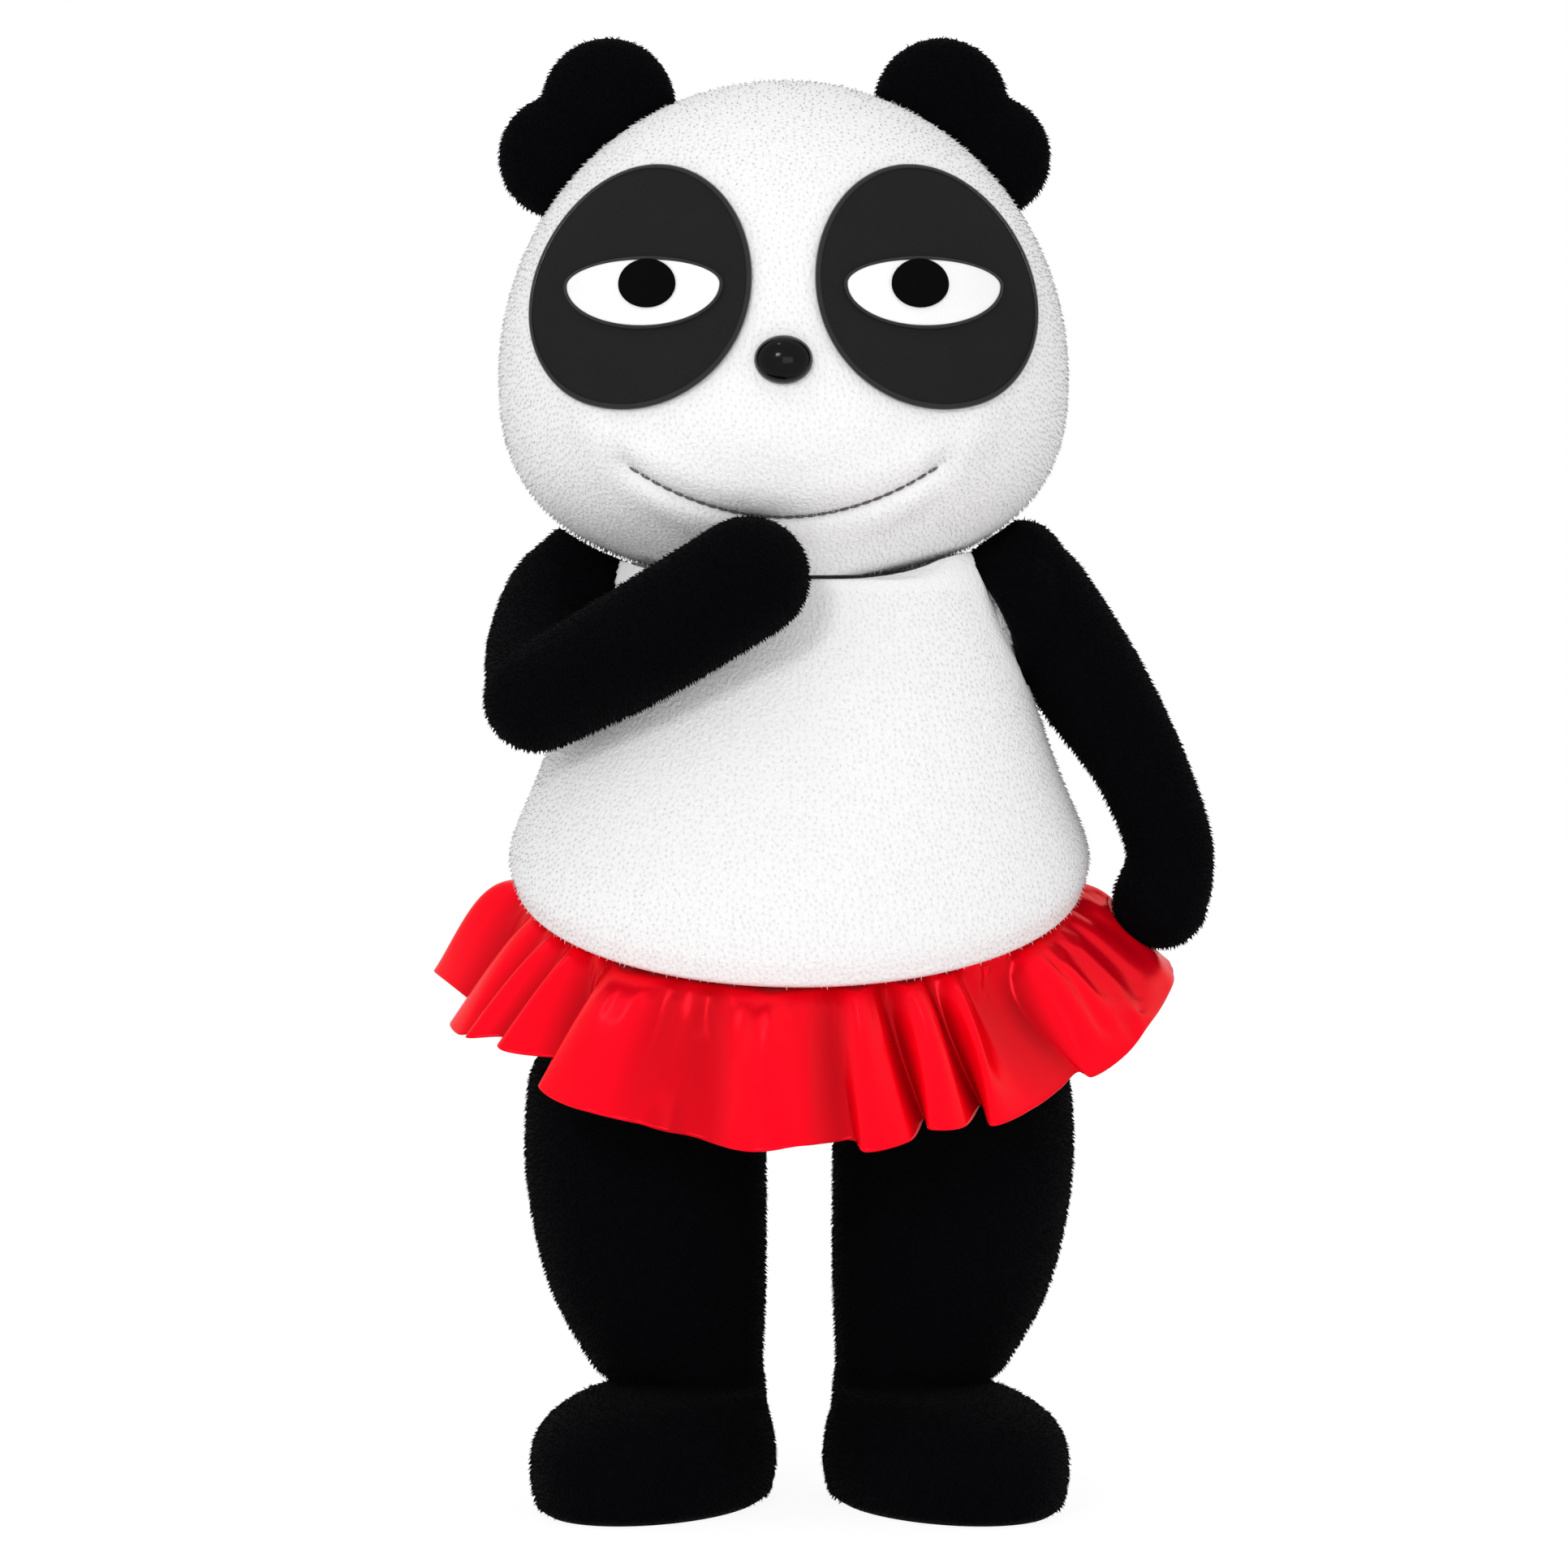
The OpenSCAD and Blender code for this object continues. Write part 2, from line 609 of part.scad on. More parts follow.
module right_leg_disc() { at_hip(-1) limb_disc(hip_disc_d); }
module right_hip_disc() { at_hip(-1) body_disc(hip_disc_d); }
module right_hip_bolt() { at_hip(-1) bolt(); }
module right_hip_nut() { at_hip(-1) nut(); }
module left_leg_disc() { at_hip(1) limb_disc(hip_disc_d); }
module left_hip_disc() { at_hip(1) body_disc(hip_disc_d); }
module left_hip_bolt() { at_hip(1) bolt(); }
module left_hip_nut() { at_hip(1) nut(); }

// Arms: centre lines from the shoulder ends

function down(l, splay, fwd) = [l * sin(splay), -fwd, -l * cos(splay)];
left_elbow = shoulder(1) + down(upper_l, upper_splay, upper_l * 0.095);
left_wrist = left_elbow + down(fore_l, fore_splay, fore_l * 0.105);
left_palm = left_wrist + down(paw_l, -paw_tuck, paw_l * 0.04);
left_rows = [
    concat(shoulder(1), [left_top_r]), concat(shoulder(1) * 0.5 + left_elbow * 0.5, [arm_r]),
    concat(left_elbow, [elbow_r]), concat(left_wrist, [wrist_r]), concat(left_palm, [paw_r])];
right_elbow = shoulder(-1) + [-bend_out, -bend_fwd, -bend_down];
palm_z = neck_z + palm_up;
right_palm = [head_x + palm_x,
    -face_y(palm_x, palm_z + 0.8 * palm_r, 0) - 0.6 * palm_r - chin_gap, palm_z];
upper_rows = [
    concat(shoulder(-1), [right_top_r]),
    concat(shoulder(-1) * 0.5 + right_elbow * 0.5 + arm_r * [-0.12, 0.16, -0.08], [arm_r]),
    concat(right_elbow, [bend_r])];
fore_rows = [
    concat(right_elbow + bend_r * [-0.04, -0.18, -0.13], [bend_r]),
    concat(right_elbow * 0.5 + right_palm * 0.5 + fore_r * [-0.08, -0.4, -0.12], [fore_r]),
    concat(right_palm, [palm_r])];
module left_arm_form(grow, sides, steps) { limb(left_rows, [0, 1, 0], grow, sides, steps); }
module upper_arm_form(grow, sides, steps) { limb(upper_rows, [1, 0, 0], grow, sides, steps); }
module forearm_form(grow, sides, steps) { limb(fore_rows, [0, 0, 1], grow, sides, steps); }
module left_arm_cover() {
    color([0.05, 0.05, 0.06]) difference() {
        left_arm_form(0, arm_sides, 12);
        difference() {
            left_arm_form(-cover_t, thin_sides, 8);
            torso_body(slack + cover_t, free_turn, torso_sides, torso_rings);
        }
        torso_body(slack, free_turn, torso_sides, torso_rings);
        at_shoulder(1) cover_hole();
    }
}
module left_arm_filling() {
    color([0.98, 0.97, 0.93]) difference() {
        left_arm_form(-cover_t - slack, thin_sides, 8);
        torso_body(2 * slack + cover_t, free_turn, torso_sides, torso_rings);
        at_shoulder(1) limb_room(arm_disc_d);
    }
}
module right_upper_arm_cover() {
    color([0.05, 0.05, 0.06]) difference() {
        upper_arm_form(0, arm_sides, 7);
        difference() {
            upper_arm_form(-cover_t, thin_sides, 5);
            torso_body(slack + cover_t, free_turn, torso_sides, torso_rings);
        }
        torso_body(slack, free_turn, torso_sides, torso_rings);
        at_shoulder(-1) cover_hole();
    }
}
module right_upper_arm_filling() {
    color([0.98, 0.97, 0.93]) difference() {
        upper_arm_form(-cover_t - slack, thin_sides, 5);
        torso_body(2 * slack + cover_t, free_turn, torso_sides, torso_rings);
        at_shoulder(-1) limb_room(arm_disc_d);
    }
}
module right_forearm_cover() {
    color([0.05, 0.05, 0.06]) difference() {
        forearm_form(0, arm_sides, 8);
        difference() {
            forearm_form(-cover_t, thin_sides, 5);
            upper_arm_form(cover_t + slack, arm_sides, 7);
        }
        upper_arm_form(slack, arm_sides, 7);
    }
}
module right_forearm_filling() {
    color([0.98, 0.97, 0.93]) difference() {
        forearm_form(-cover_t - slack, thin_sides, 5);
        upper_arm_form(cover_t + 2 * slack, arm_sides, 7);
    }
}

// Legs: rows of height, outward place, forward offset, half width, half length and how level the cover lies
leg_top = hip_z - slack;
foot_x = hip_x + thigh_out / 3;
sole_w = 0.42;
sole_l = 0.44;
leg_rows = [
    [0, foot_x, foot_fwd, foot_w * sole_w, foot_l * sole_l, 0],
    [ankle_z * 0.12, foot_x, foot_fwd, foot_w * 0.475, foot_l * 0.48, 0],
    [ankle_z * 0.42, foot_x, foot_fwd, foot_w / 2, foot_l / 2, 0],
    [ankle_z * 0.74, foot_x - ankle_in * 0.08, foot_fwd * 0.94, foot_w * 0.46, foot_l * 0.455, 0.6],
    [ankle_z * 0.92, foot_x - ankle_in * 0.75, foot_fwd * 0.6, foot_w * 0.395, foot_l * 0.36, 1.3],
    [ankle_z, hip_x - ankle_in, foot_fwd * 0.13, ankle_w / 2, ankle_w * 0.54, 1.3],
    [ankle_z * 1.275, hip_x - ankle_in * 0.42, foot_fwd * 0.03, ankle_w * 0.58, ankle_w * 0.61, 0],
    [ankle_z + (leg_top - ankle_z) * 0.28, hip_x + thigh_out * 0.2, 0, thigh_w * 0.455, thigh_d * 0.455, 0],
    [ankle_z + (leg_top - ankle_z) * 0.58, hip_x + thigh_out, 0, thigh_w / 2, thigh_d / 2, 0],
    [ankle_z + (leg_top - ankle_z) * 0.85, hip_x + thigh_out, 0, thigh_w * 0.495, thigh_d * 0.49, 0],
    [ankle_z + (leg_top - ankle_z) * 0.96, hip_x + thigh_out * 0.6, 0, thigh_w * 0.455, thigh_d * 0.45, 0],
    [leg_top, hip_x + thigh_out * 0.4, 0, thigh_w * 0.4, thigh_d * 0.4, 0]];
module leg_form(grow, sides, picks) {
    loft([for (k = picks) let (
        q = leg_rows[k], z = q[5] * grow - grow + q[0] * (leg_top + 2 * grow) / leg_top)
        [for (i = [0:sides - 1]) let (
            c = (q[3] + grow) * cos(360 * i / sides), s = (q[4] + grow) * sin(360 * i / sides))
            [q[1] + c * cos(toe_out) - s * sin(toe_out), c * sin(toe_out) + s * cos(toe_out) - q[2], z]]]);
}
all_rows = [0:11];
lining_rows = [0, 2, 3, 4, 5, 7, 9, 11];
module on_side(side) { mirror([side < 0 ? 1 : 0, 0, 0]) children(); }
board_z = cover_t + slack;
pellets_z = board_z + board_t + slack;
pellets_h = ankle_z * 0.5;
board_in = 2 * cover_t;
module foot_oval(shrink) {
    translate([foot_x, -foot_fwd]) rotate(toe_out)
        polygon([for (a = [0:15:345])
            [(foot_w * sole_w - shrink) * cos(a), (foot_l * sole_l - shrink) * sin(a)]]);
}
module leg_cover(side) {
    color([0.05, 0.05, 0.06]) difference() {
        on_side(side) leg_form(0, leg_sides, all_rows);
        on_side(side) leg_form(-cover_t, lining_sides, lining_rows);
        at_hip(side) cover_hole();
    }
}
module leg_filling(side) {
    color([0.98, 0.97, 0.93]) difference() {
        on_side(side) leg_form(-cover_t - 2.5 * slack, lining_sides, lining_rows);
        on_side(side) linear_extrude(height = pellets_z + pellets_h + slack) foot_oval(board_in - room / 2);
        at_hip(side) limb_room(hip_disc_d);
    }
}
module sole_board(side) {
    color([0.75, 0.62, 0.45]) on_side(side) translate([0, 0, board_z])
        linear_extrude(height = board_t) foot_oval(board_in);
}
module foot_pellets(side) {
    color([0.9, 0.88, 0.82]) on_side(side) translate([0, 0, pellets_z])
        linear_extrude(height = pellets_h) foot_oval(board_in + room / 2);
}
module right_leg_cover() { leg_cover(-1); }
module right_leg_filling() { leg_filling(-1); }
module right_sole_board() { sole_board(-1); }
module right_foot_pellets() { foot_pellets(-1); }
module left_leg_cover() { leg_cover(1); }
module left_leg_filling() { leg_filling(1); }
module left_sole_board() { sole_board(1); }
module left_foot_pellets() { foot_pellets(1); }

// Skirt: rings that follow the tilted waist, with the hem spread into flutes and lifted under the left paw

band_x = waist_w / 2 + slack;
band_y = waist_d / 2 + slack;
waist_z = hip_z + waist_up;
waist_fwd = belly_fwd * 0.7;
band_wall = band_t / 5;
function waist_spot(a, out, drop) =
    let (y = (band_y + out) * sin(a))
    [(band_x + out) * cos(a), y - waist_fwd, waist_z - drop + waist_fall * dip(y)];
module ring_band(inner, outer, half_h, points) {
    loft_ring([for (i = [0:points - 1]) let (a = 360 * i / points)
        [waist_spot(a, inner, half_h), waist_spot(a, outer, half_h),
         waist_spot(a, outer, -half_h), waist_spot(a, inner, -half_h)]]);
}
// A closed ring through sections that have the same number of points
module loft_ring(sections) {
    n = len(sections[0]);
    m = len(sections);
    points = [for (s = sections) each s];
    polyhedron(points, [for (j = [0:m - 1], i = [0:n - 1])
        let (a = j * n, c = ((j + 1) % m) * n, k = (i + 1) % n)
        each [[a + i, c + k, c + i], [a + i, a + k, c + k]]], convexity = 8);
}
module skirt_waistband() {
    color([0.8, 0.02, 0.06]) difference() {
        ring_band(slack, band_t, band_h / 2, band_points);
        ring_band(slack + band_wall, band_t - band_wall, band_h / 2 - band_wall, band_points);
    }
}
module waist_elastic() {
    inset = 1.6 * band_wall;
    color([0.95, 0.95, 0.95]) ring_band(slack + inset, band_t - inset, band_h / 2 - inset, band_points);
}
lift_angle = 4;
lift_span = 52;
lift_tuck = 0.12;
lift_sag = 0.3;
frill_in = band_t + slack;
function lifted(a) =
    let (d = (a > 180 ? a - 360 : a) - lift_angle) exp(-(d / lift_span) * (d / lift_span) * 3);
function flute(a) = cos(flutes * a + 40 * sin(2 * a + 30)) + 0.35 * cos((flutes - 6) * a + 70);
paw_low = left_palm[2] - paw_r;
side_low = waist_z + band_h / 2 - band_h - fall_side;
lift_h = max(paw_low - band_t - side_low, 0);
function skirt_spot(a, t, side) =
    let (c = cos(a), s = sin(a), w = lifted(a),
        flare = (flare_side * c * c + flare_front * s * s) * (1 - lift_tuck * w),
        spread = flare * pow(t, 0.8 + lift_sag * w),
        out = frill_in + spread + flute_d * pow(t, 1.2) * (flute(a) * (1 - 0.6 * w) + 0.5 * w) + side,
        fall = (band_h + (s < 0 ? fall_front : fall_back) * s * s + fall_side * c * c) * t)
    waist_spot(a, out, fall - band_h / 2 - w * pow(t, 1.4) * lift_h);
module skirt_frill() {
    shares = [0, 0.2, 0.45, 0.72, 1];
    color([0.86, 0.02, 0.08]) loft_ring([for (i = [0:hem_points - 1]) let (a = 360 * i / hem_points)
        [for (t = shares) skirt_spot(a, t, 0), for (k = [4:-1:0]) skirt_spot(a, shares[k], satin_t)]]);
}

head_cover();
head_filling();
right_ear();
left_ear();
right_eye_patch();
left_eye_patch();
right_eye_white();
left_eye_white();
right_pupil();
left_pupil();
nose();
nose_washer();
mouth_stitch();
neck_head_disc();
neck_body_disc();
neck_bolt();
neck_nut();
torso_cover();
torso_filling();
pellet_pouch();
skirt_frill();
skirt_waistband();
waist_elastic();
right_upper_arm_cover();
right_upper_arm_filling();
right_forearm_cover();
right_forearm_filling();
right_arm_disc();
right_shoulder_disc();
right_shoulder_bolt();
right_shoulder_nut();
left_arm_cover();
left_arm_filling();
left_arm_disc();
left_shoulder_disc();
left_shoulder_bolt();
left_shoulder_nut();
right_leg_cover();
right_leg_filling();
right_sole_board();
right_foot_pellets();
right_leg_disc();
right_hip_disc();
right_hip_bolt();
right_hip_nut();
left_leg_cover();
left_leg_filling();
left_sole_board();
left_foot_pellets();
left_leg_disc();
left_hip_disc();
left_hip_bolt();
left_hip_nut();
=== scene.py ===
"""The looks of a standing plush panda with disc joints and a gathered satin skirt, dressed round its frame.

Lengths are in millimetres until a mesh is made, and +Z is up. The toy faces -Y.
"""

import json
import logging
import math
from dataclasses import dataclass, field
from enum import Enum

import bpy
import numpy as np
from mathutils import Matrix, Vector
from mathutils.kdtree import KDTree


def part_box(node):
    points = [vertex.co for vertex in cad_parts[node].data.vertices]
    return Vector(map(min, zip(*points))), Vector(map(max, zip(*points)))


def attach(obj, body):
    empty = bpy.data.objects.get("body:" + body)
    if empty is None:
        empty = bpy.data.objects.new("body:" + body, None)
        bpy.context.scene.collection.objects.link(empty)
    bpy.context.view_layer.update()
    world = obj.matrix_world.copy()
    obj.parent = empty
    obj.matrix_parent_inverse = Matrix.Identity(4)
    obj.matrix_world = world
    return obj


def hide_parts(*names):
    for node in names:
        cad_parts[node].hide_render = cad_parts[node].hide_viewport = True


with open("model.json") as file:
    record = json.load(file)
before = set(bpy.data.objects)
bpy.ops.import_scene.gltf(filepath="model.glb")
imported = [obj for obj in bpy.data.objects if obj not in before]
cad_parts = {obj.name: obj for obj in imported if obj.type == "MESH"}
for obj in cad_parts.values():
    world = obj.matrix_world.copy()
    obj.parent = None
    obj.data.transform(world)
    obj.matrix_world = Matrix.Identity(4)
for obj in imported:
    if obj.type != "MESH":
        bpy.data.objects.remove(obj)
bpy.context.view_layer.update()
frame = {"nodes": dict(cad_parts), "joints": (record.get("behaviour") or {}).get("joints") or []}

LOG = logging.getLogger("plush_panda")
MM = 0.001
TINY = 1e-6
# How many turns of a joint a clearance is worked out at
TURNS = 5
# Points that are held less firmly than this are free
LOOSE = 0.02
SIDES = {"right": -1, "left": 1}
Colour = tuple[float, float, float, float]


def grey(level: float) -> Colour:
    """An opaque neutral colour of one level."""
    return (level, level, level, 1.0)


def swell(distance: np.ndarray, reach: float) -> np.ndarray:
    """A soft bump of height 1 that fades out over the reach."""
    return np.exp(-((distance / reach) ** 2))


def ease(values: np.ndarray, low: float, high: float) -> np.ndarray:
    """A smooth step from 0 at low to 1 at high."""
    share = np.clip((values - low) / (high - low), 0, 1)
    return share * share * (3 - 2 * share)


def smooth_rows(rows: list, places: np.ndarray, closed: bool = False) -> np.ndarray:
    """Values on a smooth curve through the rows of a table.

    Args:
        rows: The table, one row for each station.
        places: Where to read it, counted in rows.
        closed: Whether the last row leads back to the first.

    Returns:
        One row of values for each place.
    """
    table = np.asarray(rows, float)
    count = len(table)
    whole = np.floor(places).astype(int)
    if not closed:
        whole = np.clip(whole, 0, count - 2)
    part = (places - whole)[:, None]
    stations = [whole + step for step in (-1, 0, 1, 2)]
    a, b, c, d = (table[s % count if closed else np.clip(s, 0, count - 1)] for s in stations)
    bend = 2 * a - 5 * b + 4 * c - d
    return 0.5 * (2 * b + (c - a) * part + bend * part**2 + (3 * b - a - 3 * c + d) * part**3)


def node_box(name: str) -> tuple[np.ndarray, np.ndarray]:
    """The lowest and highest corner of a frame node, in millimetres."""
    low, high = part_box(name)
    return np.array(low) / MM, np.array(high) / MM


def joint_line(name: str) -> tuple[np.ndarray, np.ndarray]:
    """The middle of a joint in millimetres and the direction of its axis.

    Args:
        name: The joint's name.

    Returns:
        The middle, and the direction with a length of 1.
    """
    joint = next(j for j in frame["joints"] if j["name"] == name)
    axis = np.array(joint["axis"], float)
    return np.array(joint["pos_m"], float) / MM, axis / np.linalg.norm(axis)


def joint_range(name: str) -> list[float]:
    """The limits of a joint in degrees."""
    return next(j for j in frame["joints"] if j["name"] == name)["range_deg"]


def taken(obj: bpy.types.Object) -> bpy.types.Mesh:
    """A plain mesh of an object with its modifiers applied."""
    graph = bpy.context.evaluated_depsgraph_get()
    return bpy.data.meshes.new_from_object(obj.evaluated_get(graph))


def linked(name: str, data: bpy.types.ID | None) -> bpy.types.Object:
    """A new object in the scene.

    Args:
        name: The object's name.
        data: Its mesh, camera or lamp.

    Returns:
        The object.
    """
    obj = bpy.data.objects.new(name, data)
    bpy.context.scene.collection.objects.link(obj)
    return obj


def faced(obj: bpy.types.Object, place: tuple, aim: tuple) -> None:
    """Puts a camera or a lamp at a place and turns it to what it looks at."""
    obj.location = place
    obj.rotation_euler = (Vector(aim) - Vector(place)).to_track_quat("-Z", "Y").to_euler()


def dropped(obj: bpy.types.Object) -> None:
    """Removes a helper object with its mesh.

    Args:
        obj: The helper.
    """
    mesh = obj.data
    bpy.data.objects.remove(obj)
    bpy.data.meshes.remove(mesh)


@dataclass
class Form:
    """A surface as points in millimetres, with faces of four and of three corners."""

    points: np.ndarray
    quads: np.ndarray
    tris: np.ndarray = field(default_factory=lambda: np.empty((0, 3), int))

    @classmethod
    def loft(cls, rings: np.ndarray) -> "Form":
        """A closed form through rings that have the same number of points.

        Args:
            rings: Points by ring and by place on the ring.

        Returns:
            The form, with a pole in the middle of each end ring.
        """
        count, sides, _ = rings.shape
        here = np.arange(sides)
        following = (here + 1) % sides
        start = np.arange(count - 1)[:, None] * sides
        ahead = start + sides
        quads = np.stack([start + here, start + following, ahead + following, ahead + here], -1)
        first, last = count * sides, count * sides + 1
        top = (count - 1) * sides
        fan_low = np.stack([np.full(sides, first), following, here], -1)
        fan_high = np.stack([np.full(sides, last), top + here, top + following], -1)
        poles = [rings[0].mean(0), rings[-1].mean(0)]
        points = np.concatenate([rings.reshape(-1, 3), poles])
        return cls(points, quads.reshape(-1, 4), np.concatenate([fan_low, fan_high])).outward()

    @classmethod
    def limb(cls, rows: list, sides: int, steps: int, cap: int = 7, span: tuple = (86, 6)) -> "Form":
        """A round limb with round ends along a smooth middle line.

        Args:
            rows: Place and radius at each station.
            sides: Points round the limb.
            steps: Rings along it.
            cap: Rings on each round end.
            span: The rise of the first and of the last of those rings, in degrees.

        Returns:
            The closed form.
        """
        line = smooth_rows(rows, np.linspace(0, len(rows) - 1, steps))
        middle, radius = line[:, :3], line[:, 3]
        ahead = np.gradient(middle, axis=0)
        ahead /= np.linalg.norm(ahead, axis=1)[:, None]
        turns = np.radians(np.linspace(*span, cap))

        def capped(end: int, sign: int) -> list:
            """The stations of one round end, from its tip on."""
            spots = [middle[end] + sign * ahead[end] * radius[end] * np.sin(t) for t in turns]
            return [(spot, ahead[end], radius[end] * np.cos(t)) for spot, t in zip(spots, turns)]

        stations = capped(0, -1) + list(zip(middle, ahead, radius)) + capped(-1, 1)[::-1]
        turn = np.linspace(0, 2 * math.pi, sides, endpoint=False)[:, None]
        guide = np.eye(3)[np.argmin(np.abs(middle[-1] - middle[0]))]
        rings = []
        for centre, way, reach in stations:
            across = np.cross(way, guide)
            across /= np.linalg.norm(across)
            rings.append(centre + reach * (np.cos(turn) * across + np.sin(turn) * np.cross(way, across)))
        return cls.loft(np.array(rings))

    @classmethod
    def ball(cls, middle: np.ndarray, halves: np.ndarray, count: int = 48) -> "Form":
        """A closed ellipsoid.

        Args:
            middle: Its middle.
            halves: Its half sizes along the axes.
            count: How many points each ring has.

        Returns:
            The ellipsoid.
        """
        rise = np.linspace(-1, 1, count)[1:-1] * math.pi / 2
        turn = np.linspace(0, 2 * math.pi, count, endpoint=False)
        rings = np.stack(
            [np.outer(np.cos(rise), np.cos(turn)), np.outer(np.cos(rise), np.sin(turn)),
             np.outer(np.sin(rise), np.ones(count))], -1)
        return cls.loft(rings * halves + middle)

    @classmethod
    def of_mesh(cls, mesh: bpy.types.Mesh) -> "Form":
        """The form that a mesh in metres holds.

        Args:
            mesh: The mesh.

        Returns:
            The form, in millimetres.
        """
        points = np.empty(len(mesh.vertices) * 3)
        mesh.vertices.foreach_get("co", points)
        corners = [tuple(p.vertices) for p in mesh.polygons]
        quads = np.array([c for c in corners if len(c) == 4], int).reshape(-1, 4)
        tris = np.array([c for c in corners if len(c) == 3], int).reshape(-1, 3)
        return cls(points.reshape(-1, 3) / MM, quads, tris)

    def outward(self) -> "Form":
        """Turns the faces of a closed form outwards.

        Returns:
            The same form.
        """
        middle = self.points.mean(0)
        halves = [self.tris, self.quads[:, [0, 1, 2]], self.quads[:, [0, 2, 3]]]
        a, b, c = (self.points[np.concatenate(halves)[:, k]] - middle for k in range(3))
        if np.einsum("ij,ij->", a, np.cross(b, c)) < 0:
            self.quads, self.tris = self.quads[:, ::-1], self.tris[:, ::-1]
        return self

    def joined(self, other: "Form") -> "Form":
        """Both forms as one.

        Args:
            other: The form to add.

        Returns:
            A new form.
        """
        shift = len(self.points)
        return Form(np.concatenate([self.points, other.points]),
                    np.concatenate([self.quads, other.quads + shift]),
                    np.concatenate([self.tris, other.tris + shift]))

    def mesh(self, name: str) -> bpy.types.Mesh:
        """The form as a smooth mesh in metres.

        Args:
            name: The mesh's name.

        Returns:
            The mesh.
        """
        mesh = bpy.data.meshes.new(name)
        mesh.from_pydata((self.points * MM).tolist(), [], self.quads.tolist() + self.tris.tolist())
        mesh.shade_smooth()
        return mesh

    def normals(self) -> np.ndarray:
        """The outward direction at each point.

        Returns:
            One direction for each point, with a length of 1.
        """
        mesh = self.mesh("directions")
        values = np.empty(len(self.points) * 3, np.float32)
        mesh.vertex_normals.foreach_get("vector", values)
        bpy.data.meshes.remove(mesh)
        return values.reshape(-1, 3).astype(float)

    def fused(self, voxel: float, relax: int) -> "Form":
        """The forms grown together into one skin of even squares.

        Args:
            voxel: The size of the squares.
            relax: How many times the skin is smoothed.

        Returns:
            The skin.
        """
        helper = linked("fusing", self.mesh("fusing"))
        skin = helper.modifiers.new("skin", "REMESH")
        skin.mode = "VOXEL"
        skin.voxel_size = voxel * MM
        soften = helper.modifiers.new("soften", "SMOOTH")
        soften.factor = 0.5
        soften.iterations = relax
        mesh = taken(helper)
        form = Form.of_mesh(mesh)
        bpy.data.meshes.remove(mesh)
        dropped(helper)
        return form

    def made(self, name: str, material: bpy.types.Material) -> bpy.types.Object:
        """The form as an object of one material.

        Args:
            name: The object's name.
            material: Its material.

        Returns:
            The object.
        """
        obj = linked(name, self.mesh(name))
        obj.data.materials.append(material)
        return obj


def spread(points: np.ndarray, values: np.ndarray, targets: np.ndarray, near: int = 5,
           soften: float = 0.01) -> np.ndarray:
    """Carries values from one set of points over to another.

    Args:
        points: The points that have values.
        values: One row of values for each point.
        targets: The points that take them.
        near: How many points each target takes its values from.
        soften: What keeps a point at no distance from counting alone.

    Returns:
        One row of values for each target.
    """
    tree = KDTree(len(points))
    for place, point in enumerate(points.tolist()):
        tree.insert(point, place)
    tree.balance()
    found = [tree.find_n(target, near) for target in targets.tolist()]
    picks = np.array([[place for _, place, _ in row] for row in found])
    share = 1 / (np.array([[away for _, _, away in row] for row in found]) ** 2 + soften)
    return np.einsum("ij,ijk->ik", share / share.sum(1)[:, None], values[picks])


def simulated(helper: bpy.types.Object, frames: int) -> np.ndarray:
    """Where a simulation takes an object's points, in millimetres.

    Args:
        helper: The object with its cloth.
        frames: How many frames the simulation runs for.

    Returns:
        The points after the last frame.
    """
    scene = bpy.context.scene
    for step in range(1, frames + 1):
        scene.frame_set(step)
    mesh = taken(helper)
    points = Form.of_mesh(mesh).points
    bpy.data.meshes.remove(mesh)
    scene.frame_set(1)
    return points


def pinned(helper: bpy.types.Object, firm: np.ndarray) -> str:
    """Marks how firmly each point of an object is held, and names the mark.

    Args:
        helper: The object.
        firm: The hold at each point, from 0 to 1.

    Returns:
        The name of the mark.
    """
    group = helper.vertex_groups.new(name="held")
    for place in np.flatnonzero(firm > LOOSE).tolist():
        group.add([place], float(firm[place]), "REPLACE")
    return group.name


@dataclass(frozen=True)
class Stuffing:
    """Fills a sewn cover by cloth simulation, so that it swells between the places that hold it."""

    voxel: float = 5.0
    relax: int = 2
    quality: int = 5
    pressure: float = 4.0
    frames: int = 20
    limit: float = 3.0

    def filled(self, form: Form, held: np.ndarray) -> Form:
        """Blows a cover up and keeps its mean size.

        Args:
            form: The cover.
            held: How firmly each of its points is held, from 0 to 1.

        Returns:
            The cover with the swelling that its filling gives it.
        """
        coarse = form.fused(self.voxel, self.relax)
        firm = np.clip(spread(form.points, held[:, None], coarse.points)[:, 0], 0, 1)
        helper = linked("stuffing", coarse.mesh("stuffing"))
        cloth = helper.modifiers.new("cloth", "CLOTH").settings
        cloth.quality = self.quality
        cloth.use_pressure = True
        cloth.uniform_pressure_force = self.pressure
        cloth.effector_weights.gravity = 0
        cloth.vertex_group_mass = pinned(helper, firm)
        moved = simulated(helper, self.frames) - coarse.points
        dropped(helper)
        normals, free = coarse.normals(), 1 - firm
        mean = np.average(np.einsum("ij,ij->i", moved, normals), weights=free + TINY)
        moved = (moved - mean * normals) * free[:, None]
        length = np.linalg.norm(moved, axis=1)
        LOG.info("filled: mean swelling %.2f, largest move %.2f", mean, length.max())
        moved *= np.minimum(1, self.limit / np.maximum(length, TINY))[:, None]
        return Form(form.points + spread(coarse.points, moved, form.points), form.quads, form.tris)


